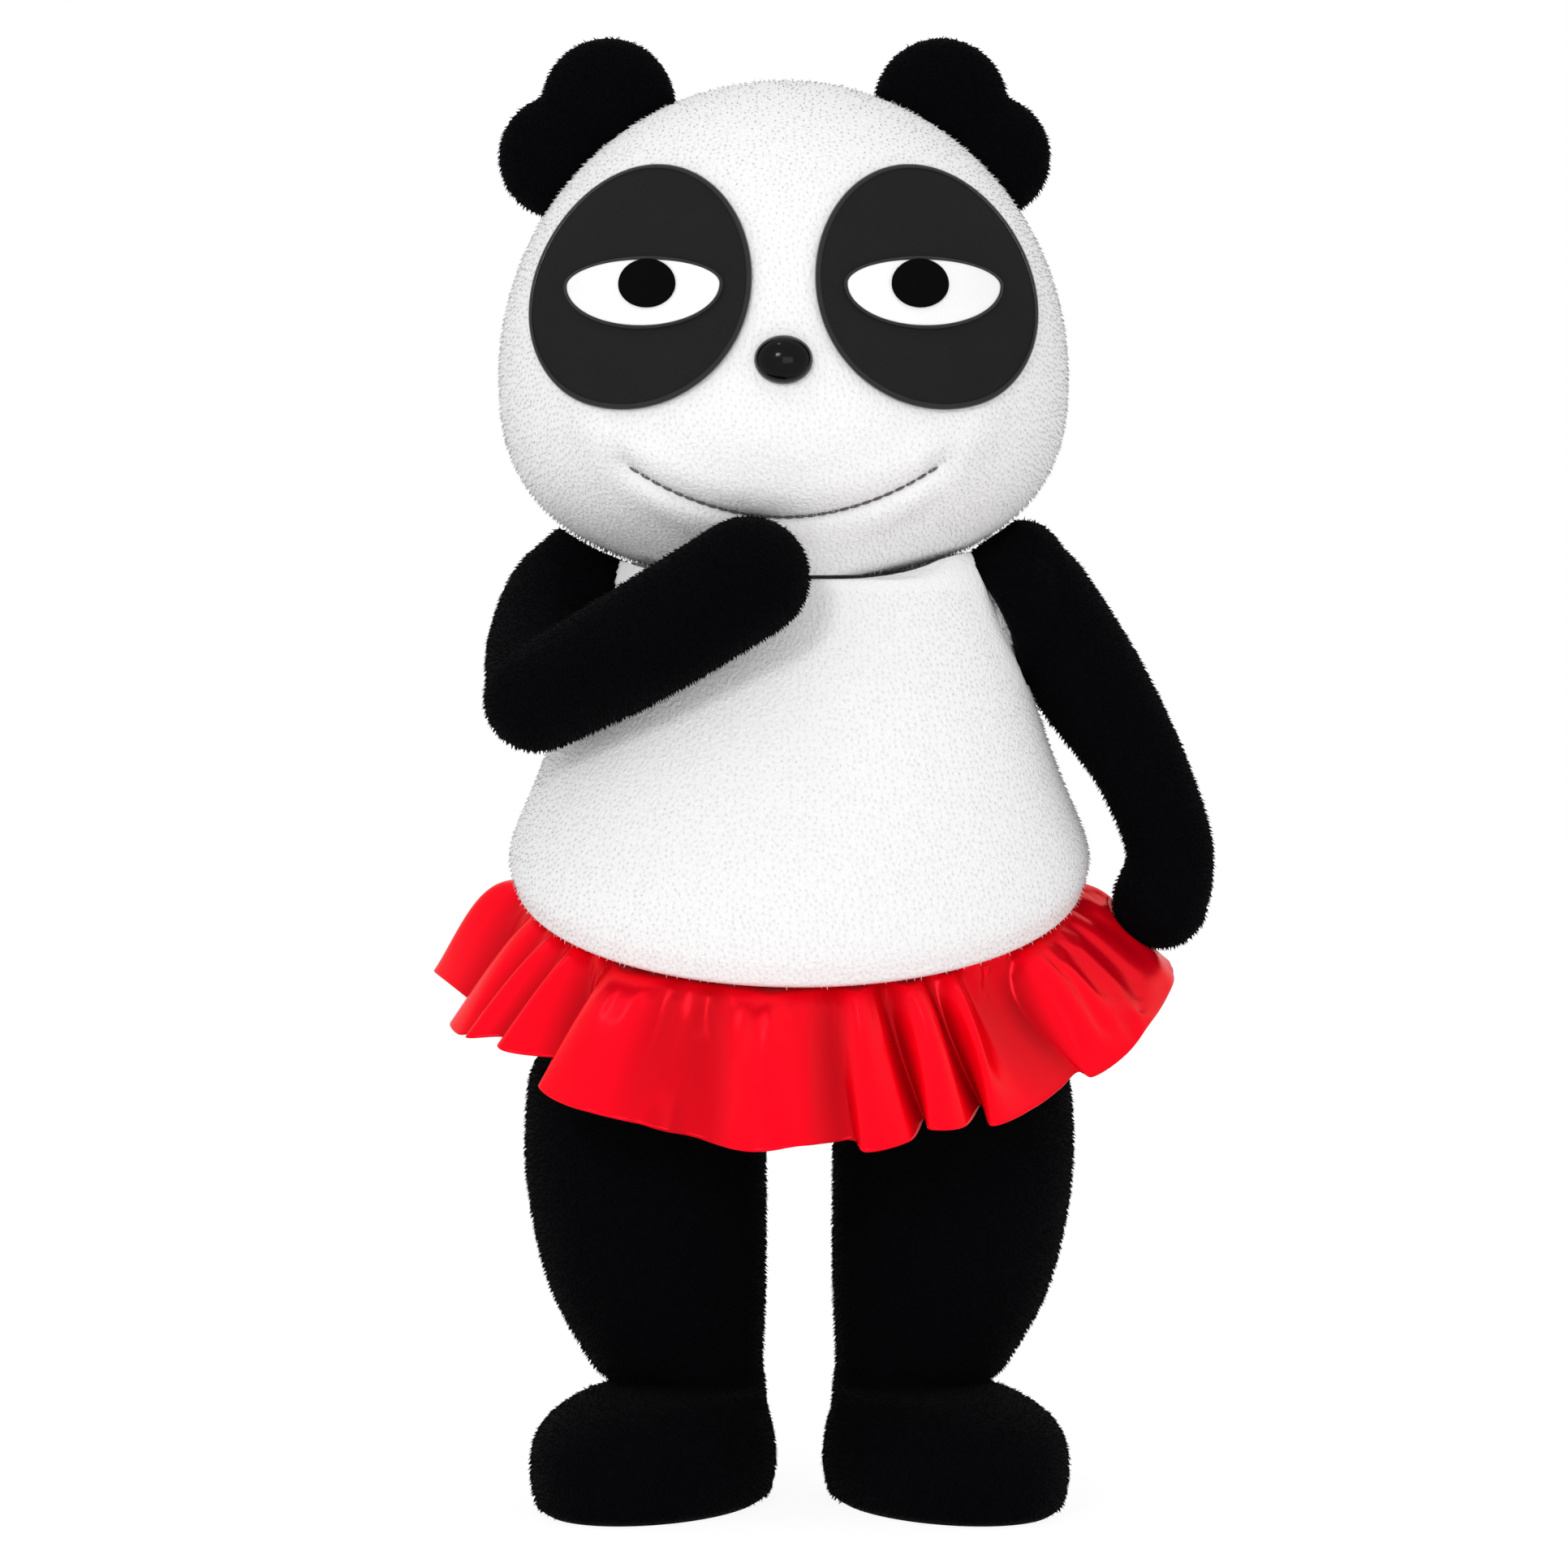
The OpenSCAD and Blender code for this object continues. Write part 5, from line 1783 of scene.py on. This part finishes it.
@dataclass
class Leg:
    """A stuffed leg with a round thigh, a creased ankle and a flat-soled foot."""

    shop: Workshop
    side: str
    seed: int
    hip_x: float = 62.0
    thigh_w: float = 107.0
    thigh_d: float = 110.0
    thigh_out: float = 6.0
    ankle_w: float = 70.0
    ankle_in: float = 12.0
    ankle_z: float = 51.0
    foot_l: float = 148.0
    foot_w: float = 100.0
    foot_fwd: float = 35.0
    toe_out: float = 22.0
    top_gap: float = 0.2
    held_sole: tuple[float, float] = (5.0, 18.0)
    held_top: tuple[float, float] = (22.0, 8.0)
    held_ankle: float = 5.0
    bare_sole: float = 2.5
    bare_top: float = 4.0
    sunk: float = 1.0
    sides: int = 120
    rings: int = 150
    fill: float = 0.9

    def __post_init__(self) -> None:
        """Takes the leg's height from the frame."""
        self.sign = SIDES[self.side]
        self.top = node_box(f"{self.side}_leg_cover")[1][2]

    def rows(self) -> list:
        """Height, outward place, forward offset, half width and half length at each station.

        Returns:
            One row for each station.
        """
        foot_x, rise = self.hip_x + 2, self.top - self.ankle_z
        wide, deep, out = self.thigh_w, self.thigh_d, self.thigh_out
        return [
            (0, foot_x, self.foot_fwd, 0.43 * self.foot_w, 0.45 * self.foot_l),
            (4, foot_x, self.foot_fwd, 0.475 * self.foot_w, 0.483 * self.foot_l),
            (0.32 * self.ankle_z, foot_x, self.foot_fwd, 0.5 * self.foot_w, 0.5 * self.foot_l),
            (0.6 * self.ankle_z, foot_x, self.foot_fwd, 0.49 * self.foot_w, 0.488 * self.foot_l),
            (0.8 * self.ankle_z, foot_x - 2, 0.9 * self.foot_fwd, 0.45 * self.foot_w, 0.44 * self.foot_l),
            (0.94 * self.ankle_z, foot_x - 8, 0.62 * self.foot_fwd, 0.395 * self.foot_w, 0.36 * self.foot_l),
            (self.ankle_z, self.hip_x - self.ankle_in, 4, 0.5 * self.ankle_w, 0.54 * self.ankle_w),
            (self.ankle_z + 9, self.hip_x - 0.6 * self.ankle_in, 1.5, 0.555 * self.ankle_w,
             0.585 * self.ankle_w),
            (self.ankle_z + 0.28 * rise, self.hip_x + 0.2 * out, 0, 0.455 * wide, 0.455 * deep),
            (self.ankle_z + 0.58 * rise, self.hip_x + out, 0, 0.5 * wide, 0.5 * deep),
            (self.ankle_z + 0.85 * rise, self.hip_x + out, 0, 0.495 * wide, 0.49 * deep),
            (self.ankle_z + 0.96 * rise, self.hip_x + 0.6 * out, 0, 0.455 * wide, 0.45 * deep),
            (self.top, self.hip_x + 0.4 * out, 0, 0.4 * wide, 0.4 * deep)]

    def build(self) -> None:
        """Builds the leg."""
        rows = self.rows()
        line = smooth_rows(rows, np.linspace(0, len(rows) - 1, self.rings))
        z, out, ahead, half_w, half_l = (line[:, k : k + 1] for k in range(5))
        turn = np.linspace(0, 2 * math.pi, self.sides, endpoint=False)
        c, s = (half_w - self.sunk) * np.cos(turn), (half_l - self.sunk) * np.sin(turn)
        toe = math.radians(self.toe_out)
        x = self.sign * (out + c * math.cos(toe) - s * math.sin(toe))
        y = c * math.sin(toe) + s * math.cos(toe) - ahead
        z = np.clip(z + 0 * c, 0, self.top - self.top_gap)
        form = Form.loft(np.stack([x, y, z], -1))
        high = form.points[:, 2]
        sole = 1 - ease(high, *self.held_sole)
        top = ease(high, *(self.top - down for down in self.held_top))
        ankle = swell(high - self.ankle_z, self.held_ankle)
        form = self.shop.stuffing.filled(form, np.maximum.reduce([sole, top, ankle]))
        high = form.points[:, 2]
        share = np.where((high < self.bare_sole) | (high > self.top - self.bare_top), 0.0, 1.0)
        nodes = tuple(f"{self.side}_{part}" for part in ("leg_cover", "leg_filling", "foot_pellets"))
        self.shop.covered(form, f"{self.side}_leg_stuffed", f"{self.side}_leg", Finish.BLACK_PLUSH, nodes,
                          self.fill, share, self.seed)


@dataclass
class Skirt:
    """A gathered satin skirt on an elastic waistband, with one side of its hem lifted to the left paw."""

    torso: Torso
    paw: Arm
    band_h: float = 13.0
    band_t: float = 5.0
    satin_t: float = 0.5
    heading: float = 2.0
    paw_gap: float = 1.2
    columns: int = 720
    rows: int = 43
    row_step: int = 3
    column_step: int = 3
    fullness: float = 0.03
    bending: float = 0.4
    frames: int = 20
    limit: float = 4.0
    spread: int = 24
    stand_out: float = 4.6
    gather_out: float = 1.1
    gathers: int = 41
    gather_stray: float = 50.0
    lift_peak: float = 6.75
    swing_power: float = 1.5
    # Painted shade in the satin's folds: the share on a plain stretch, and the depths of the main and of the
    # small folds that shift it by a whole step
    fold_level: float = 0.8
    fold_main: float = 11.0
    fold_small: float = 12.0
    cloth_mass: float = 0.1
    cloth_quality: int = 6
    held: tuple[float, float] = (0.05, 0.3)
    calm: float = 0.3
    flat_fall: float = 0.075
    map_fall: float = 0.08
    band_columns: int = 480
    band_ring: int = 20
    band_out: float = 0.4
    band_slim: float = 0.9
    band_trim: float = 0.7
    band_square: float = 0.6
    ruche_d: float = 0.45
    ruches: int = 60
    ruche_stray: float = 70.0
    # Each station of the hem: turn round the waist, swing along the hem, reach, drop, bow and lift
    hem: tuple = (
        (-106, 0, 42, 36.5, 0.7, 0), (-97, 0, 49, 37, 0.5, 0), (-89, 0, 44, 37, 0.65, 0),
        (-84, 2, 39, 37, 0.9, 0), (-79, -1, 48, 38, 0.6, 0), (-75, 2, 43, 38, 0.8, 0),
        (-72, 3, 31, 36, 1.2, 0), (-68, -2, 46, 33, 0.6, 0), (-64.5, 0, 46, 34, 0.6, 0),
        (-61, 3, 29, 37, 1.3, 0), (-57, -3, 47, 36, 0.65, 0), (-52, 0, 45, 35, 1.8, 0),
        (-46, 1, 42, 33, 2.6, 0), (-41, 1, 40, 31, 2.8, 0), (-37.5, -2, 47, 30, 0.8, 0),
        (-32, 0, 49, 29, 0.65, 0), (-23, 0, 48, 27, 0.7, 0), (-12, 0, 49, 24, 0.75, 1),
        (-3, 0, 50, 23, 0.8, 4), (5, 0, 46, 23, 0.8, 5), (13, 0, 40, 26, 0.9, 4),
        (22, 0, 31, 29, 1, 2), (31, 0, 45, 33, 0.8, 0), (41, 0, 30, 38, 1, 0),
        (52, 0, 45, 43, 0.8, 0), (63, 0, 29, 47, 1, 0), (75, 0, 45, 50, 0.8, 0),
        (87, 0, 29, 52, 1, 0), (99, 0, 45, 52, 0.8, 0), (111, 0, 29, 49, 1, 0),
        (123, 0, 44, 45, 0.8, 0), (134, 0, 29, 41, 1, 0), (145, 0, 43, 37, 0.8, 2),
        (155, 0, 32, 35, 0.9, 5), (163, 0, 42, 34, 0.7, 8), (170, 0, 36, 34, 0.8, 9),
        (178, -3, 47, 32, 0.65, 8), (185, 4, 28, 36, 1, 4), (189.5, 2, 29, 40, 1, 2),
        (193.5, -3, 38, 40, 0.75, 1), (199, 0, 42, 35, 0.7, 0), (203.5, 0, 37, 31, 1, 0),
        (207.5, 0, 46, 27, 0.7, 0), (212, 0, 35, 25, 1.1, 0), (216, 1, 44, 23, 0.75, 0),
        (220, 5, 26, 27, 1.2, 0), (224, 5, 29, 29, 1, 0), (229, -2, 47, 28, 0.55, 0),
        (235, -1, 50, 31, 0.45, 0), (243, 0, 44, 34, 0.65, 0))

    def spot(self, turn: np.ndarray, out: np.ndarray, drop: np.ndarray) -> np.ndarray:
        """Points round the tilted waist.

        Args:
            turn: The turn round the waist in degrees, with the front at -90.
            out: How far outside the groove.
            drop: How far below the middle of the band.

        Returns:
            The points.
        """
        turn = np.radians(turn)
        body = self.torso
        y = (body.waist_d / 2 + out) * np.sin(turn)
        x = (body.waist_w / 2 + out) * np.cos(turn)
        return np.stack([x, y - body.waist_fwd, body.waist_z - drop + body.waist_fall * body.dip(y)], -1)

    def form(self) -> tuple[Form, np.ndarray]:
        """The skirt's sheet, and the painted shade of its folds: how far each of its points is out of their
        hollows.

        Returns:
            The sheet, and one share from 0 to 1 for each point: the painted shade, which darkens the satin
            where it is low.
        """
        table = np.array(self.hem, float)
        count = len(table)
        places = np.linspace(0, count, self.columns, endpoint=False)
        turn = np.interp(places, np.arange(count + 1), np.append(table[:, 0], table[0, 0] + 360))
        swing, reach, drop, bow, lift = smooth_rows(table[:, 1:], places, closed=True).T
        down = np.linspace(0, 1, self.rows)[:, None]
        gather = np.sin(np.radians(turn * self.gathers + self.gather_stray * np.sin(np.radians(3 * turn))))
        out = self.stand_out + reach * down**bow + self.gather_out * gather * (1 - down) ** 2
        top = self.band_h / 2 + self.heading
        fall = -top + (top + drop) * down - lift * self.lift_peak * down * (1 - down) ** 2
        grid = self.spot(turn + swing * down**self.swing_power, out, fall)
        moved = self.draped(grid) - grid
        points = self.paw.cleared((grid + moved).reshape(-1, 3), self.paw_gap)
        small = moved[..., 0] * np.cos(np.radians(turn)) + moved[..., 1] * np.sin(np.radians(turn))
        # Painted shade: a point that lies inside its neighbours, in the hollow of a fold, gets a lower share
        # and so a darker satin; one on a crest gets the full colour
        main = (out - self.evened(out)) / self.fold_main
        fold = np.clip(self.fold_level + main + down * small / self.fold_small, 0, 1)
        return Form(points, self.squares(self.rows, self.columns)), fold.ravel()

    def draped(self, grid: np.ndarray) -> np.ndarray:
        """Lets the full satin buckle into its small folds by cloth simulation.

        Args:
            grid: The skirt's points by row and by column.

        Returns:
            The points, with the band's rows held where they were.
        """
        coarse = grid[:: self.row_step, :: self.column_step]
        rows, columns = coarse.shape[:2]
        helper = linked("draping", Form(coarse.reshape(-1, 3), self.squares(rows, columns)).mesh("draping"))
        cloth = helper.modifiers.new("cloth", "CLOTH").settings
        cloth.quality = self.cloth_quality
        cloth.mass = self.cloth_mass
        cloth.bending_stiffness = self.bending
        cloth.shrink_min = -self.fullness
        cloth.effector_weights.gravity = 0
        firm = 1 - ease(np.repeat(np.linspace(0, 1, rows), columns), *self.held)
        cloth.vertex_group_mass = pinned(helper, firm)
        moved = (simulated(helper, self.frames) - coarse.reshape(-1, 3)).reshape(rows, columns * 3)
        dropped(helper)
        down = smooth_rows(moved, np.linspace(0, rows - 1, self.rows)).reshape(self.rows, columns, 3)
        round_by = np.arange(self.columns) / self.column_step
        fine = smooth_rows(down.transpose(1, 0, 2).reshape(columns, -1), round_by, closed=True)
        fine = fine.reshape(self.columns, self.rows, 3).transpose(1, 0, 2)
        fine = fine - self.evened(fine)
        length = np.linalg.norm(fine, axis=2, keepdims=True)
        LOG.info("draped: largest move %.2f, mean %.2f", length.max(), length.mean())
        calm = np.linspace(self.calm, 1, self.rows)[:, None, None]
        return grid + calm * fine * np.minimum(1, self.limit / np.maximum(length, TINY))

    def evened(self, values: np.ndarray) -> np.ndarray:
        """Values by row and column, evened out along the rows."""
        wide = np.arange(-self.spread, self.spread + 1) + np.arange(self.columns)[:, None]
        return values.take(wide, axis=1, mode="wrap").mean(2)

    @staticmethod
    def squares(rows: int, columns: int) -> np.ndarray:
        """The faces of a sheet that closes on itself along its rows.

        Args:
            rows: How many rows of points it has.
            columns: How many columns it has.

        Returns:
            Four corners for each face.
        """
        here = np.arange(columns)
        following = (here + 1) % columns
        start = np.arange(rows - 1)[:, None] * columns
        under = start + columns
        return np.stack([start + here, under + here, under + following, start + following], -1).reshape(-1, 4)

    def mapped(self, mesh: bpy.types.Mesh) -> None:
        """Gives the skirt's sheet a map that runs once round the hem and down the fall.

        Args:
            mesh: The sheet's mesh.
        """
        layer = mesh.uv_layers.new(name="cloth")
        corners = np.empty(len(mesh.loops), int)
        mesh.loops.foreach_get("vertex_index", corners)
        column, row = corners % self.columns, corners // self.columns
        faces = corners.reshape(-1, 4)
        wrapped = (faces % self.columns).max(1) - (faces % self.columns).min(1) > self.columns / 2
        column = column + self.columns * (np.repeat(wrapped, 4) & (column == 0))
        places = np.stack([column / self.columns, self.map_fall * row / self.rows], -1)
        layer.data.foreach_set("uv", places.ravel())

    def build(self) -> None:
        """Builds the skirt and its band."""
        form, fold = self.form()
        satin = Finish.RED_SATIN.value.material()
        sheet = form.made("skirt_sheet", satin)
        self.mapped(sheet.data)
        # The painted shade of the folds goes on the sheet as a mesh attribute that the satin reads
        mark = sheet.data.attributes.new("fold", "FLOAT", "POINT")
        mark.data.foreach_set("value", fold.astype(np.float32))
        wall = sheet.modifiers.new("cloth", "SOLIDIFY")
        wall.thickness = self.satin_t * MM
        wall.offset = 0
        mesh = taken(sheet)
        old = sheet.data
        sheet.modifiers.remove(wall)
        sheet.data = mesh
        bpy.data.meshes.remove(old)
        settled(sheet, "torso", ("skirt_frill",))
        band = self.band(satin)

    def band(self, satin: bpy.types.Material) -> bpy.types.Object:
        """Builds the ruched band over the elastic.

        Args:
            satin: The skirt's material.

        Returns:
            The band.
        """
        count, ring = self.band_columns, self.band_ring
        turn = np.linspace(0, 360, count, endpoint=False)[:, None]
        round_by = np.linspace(0, 2 * math.pi, ring, endpoint=False)
        wave = turn * self.ruches + self.ruche_stray * np.sin(np.radians(4 * turn))
        ruche = self.ruche_d * np.sin(np.radians(wave))
        out = self.band_t / 2 + self.band_out + (self.band_t / 2 - self.band_slim + ruche) * np.cos(round_by)
        drop = self.band_h / 2 - self.band_trim
        drop = drop * np.sign(np.sin(round_by)) * np.abs(np.sin(round_by)) ** self.band_square
        points = self.spot(turn + 0 * out, out, drop + 0 * out)
        across = np.arange(ring)
        beside = (across + 1) % ring
        here = np.arange(count)[:, None] * ring
        ahead = np.roll(here, -1, 0)
        quads = np.stack([here + across, ahead + across, ahead + beside, here + beside], -1)
        form = Form(points.reshape(-1, 3), quads.reshape(-1, 4)).outward()
        band = form.made("waistband_ruched", satin)
        # Painted shade: the band's colour is darker in the hollows of its ruches and full on their crests
        mark = band.data.attributes.new("fold", "FLOAT", "POINT")
        mark.data.foreach_set("value", np.clip(0.5 + ruche + 0 * out, 0, 1).astype(np.float32).ravel())
        return settled(band, "torso", ("skirt_waistband", "waist_elastic"))


@dataclass
class Fittings:
    """The hidden fittings, which keep the frame's own shapes."""

    finishes: dict = field(default_factory=lambda: {
        "_disc": Finish.FIBREBOARD, "_board": Finish.FIBREBOARD, "_bolt": Finish.STEEL, "_nut": Finish.STEEL,
        "_washer": Finish.WASHER_PLASTIC})

    def dress(self) -> None:
        """Gives each fitting its material."""
        made = {finish: finish.value.material() for finish in set(self.finishes.values())}
        for name, node in frame["nodes"].items():
            for ending, finish in self.finishes.items():
                if name.endswith(ending):
                    node.data.materials.clear()
                    node.data.materials.append(made[finish])


@dataclass(frozen=True)
class Lamp:
    """A square lamp that faces the toy, in metres and watts."""

    name: str
    place: tuple[float, float, float]
    size: float
    power: float
    aim: tuple[float, float, float] = (0.0, 0.0, 0.33)

    def hang(self) -> None:
        """Puts the lamp in the scene."""
        light = bpy.data.lights.new(self.name, "AREA")
        light.size = self.size
        light.energy = self.power
        faced(linked(self.name, light), self.place, self.aim)


@dataclass
class Studio:
    """The floor, the light and the camera, in metres."""

    eye: tuple[float, float, float] = (-0.0068, -2.7, 0.42)
    aim: tuple[float, float, float] = (-0.0068, 0.0, 0.3157)
    lens: float = 139.75
    sensor: float = 36.0
    ambient: float = 0.905
    dimming: float = 0.2
    floor_reach: float = 6.0
    floor_gap: float = 0.0004
    floor_tone: float = 0.9
    floor_glow: float = 1.07
    floor_share: float = 0.86
    lamps: tuple[Lamp, ...] = (
        Lamp("key", (-0.6, -2.6, 1.25), 0.45, 14.0), Lamp("fill", (0.5, -2.8, 0.25), 1.2, 10.5),
        Lamp("top", (-0.35, -0.65, 2.2), 0.16, 1.6), Lamp("spark", (-0.6, -2.4, 1.3), 0.12, 2.0))

    def camera(self) -> None:
        """Places the camera at the photograph's angle."""
        camera = linked("camera", bpy.data.cameras.new("camera"))
        camera.data.lens = self.lens
        camera.data.sensor_width = self.sensor
        faced(camera, self.eye, self.aim)
        bpy.context.scene.camera = camera

    @staticmethod
    def seen(board: Board) -> Wire:
        """Whether a ray comes from the camera or from a glossy or clear surface.

        Args:
            board: The tree that takes the nodes.

        Returns:
            1 for such a ray and 0 for another.
        """
        path = board.node("ShaderNodeLightPath")
        kinds = ("Is Camera Ray", "Is Glossy Ray", "Is Transmission Ray")
        camera, glossy, clear = (Wire(board, path.outputs[name]) for name in kinds)
        return camera.math("MAXIMUM", camera, glossy.math("MAXIMUM", glossy, clear))

    def world(self) -> None:
        """Sets a white backdrop and a soft light from all round, dimmer overhead."""
        world = bpy.data.worlds.new("studio")
        bpy.context.scene.world = world
        world.use_nodes = True
        world.node_tree.nodes.clear()
        board = Board(world.node_tree)
        way = board.wire("ShaderNodeTexCoord", out="Generated")
        rise = board.wire("ShaderNodeSeparateXYZ", values={"Vector": way}, out="Z")
        level = 1 - self.dimming * rise.math("MAXIMUM", rise, 0.0)
        light = board.wire("ShaderNodeBackground", values={"Color": grey(self.ambient), "Strength": level})
        backdrop = board.wire("ShaderNodeBackground", values={"Color": grey(1.0), "Strength": 1.0})
        both = board.wire("ShaderNodeMixShader", values={0: self.seen(board), 1: light, 2: backdrop})
        board.node("ShaderNodeOutputWorld", values={"Surface": both})

    def floor(self) -> None:
        """Lays a white floor that keeps the toy's shadow."""
        mesh = bpy.data.meshes.new("floor")
        reach = self.floor_reach
        corners = [(-reach, -reach), (reach, -reach), (reach, reach), (-reach, reach)]
        mesh.from_pydata([(x, y, -self.floor_gap) for x, y in corners], [], [(0, 1, 2, 3)])
        floor = linked("floor", mesh)
        paint = Shader("floor_white")
        matt = paint.wire("ShaderNodeBsdfDiffuse", values={"Color": grey(self.floor_tone)})
        white = paint.wire("ShaderNodeEmission", values={"Color": grey(1.0), "Strength": self.floor_glow})
        share = self.floor_share * self.seen(paint)
        both = paint.wire("ShaderNodeMixShader", values={0: share, 1: matt, 2: white})
        paint.node("ShaderNodeOutputMaterial", values={"Surface": both})
        mesh.materials.append(paint.material)

    def build(self) -> None:
        """Builds the studio."""
        self.camera()
        self.world()
        self.floor()
        for lamp in self.lamps:
            lamp.hang()
        bpy.context.scene.view_settings.view_transform = "Standard"


# The middle line of each limb of an arm: place and radius at each station
RIGHT_LIMBS = [
    [(-97, 9, 412, 21), (-106, 5, 398, 25), (-112.5, -20, 376.5, 25.5), (-113, -54, 358, 24)],
    [(-114, -58, 355, 24), (-69.5, -88, 379, 26.5), (-22, -101.9, 408, 27)]]
LEFT_LIMBS = [
    [(98, 5, 413, 21), (105, 6, 399, 25), (128, 2, 362, 25.5), (150.3, -2, 325.3, 21.5),
     (164, -6.4, 287.7, 20), (159.8, -7.3, 264, 22)]]
RIGHT_NODES = tuple(f"right_{part}" for part in (
    "upper_arm_cover", "upper_arm_filling", "forearm_cover", "forearm_filling"))
LEFT_NODES = ("left_arm_cover", "left_arm_filling")


def main() -> None:
    """Builds the toy and its studio."""
    logging.basicConfig(level=logging.INFO, format="%(name)s: %(message)s")
    Studio().build()
    shop = Workshop()
    head = Head(shop)
    head.build()
    torso = Torso(shop, head)
    torso.build()
    Arm(shop, "right", RIGHT_LIMBS, RIGHT_NODES, head, seed=41).build()
    left = Arm(shop, "left", LEFT_LIMBS, LEFT_NODES, head, seed=51)
    left.build()
    for order, side in enumerate(SIDES):
        Leg(shop, side, seed=61 + order).build()
    Skirt(torso, left).build()
    Fittings().dress()
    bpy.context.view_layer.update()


if __name__ == "__main__":
    main()
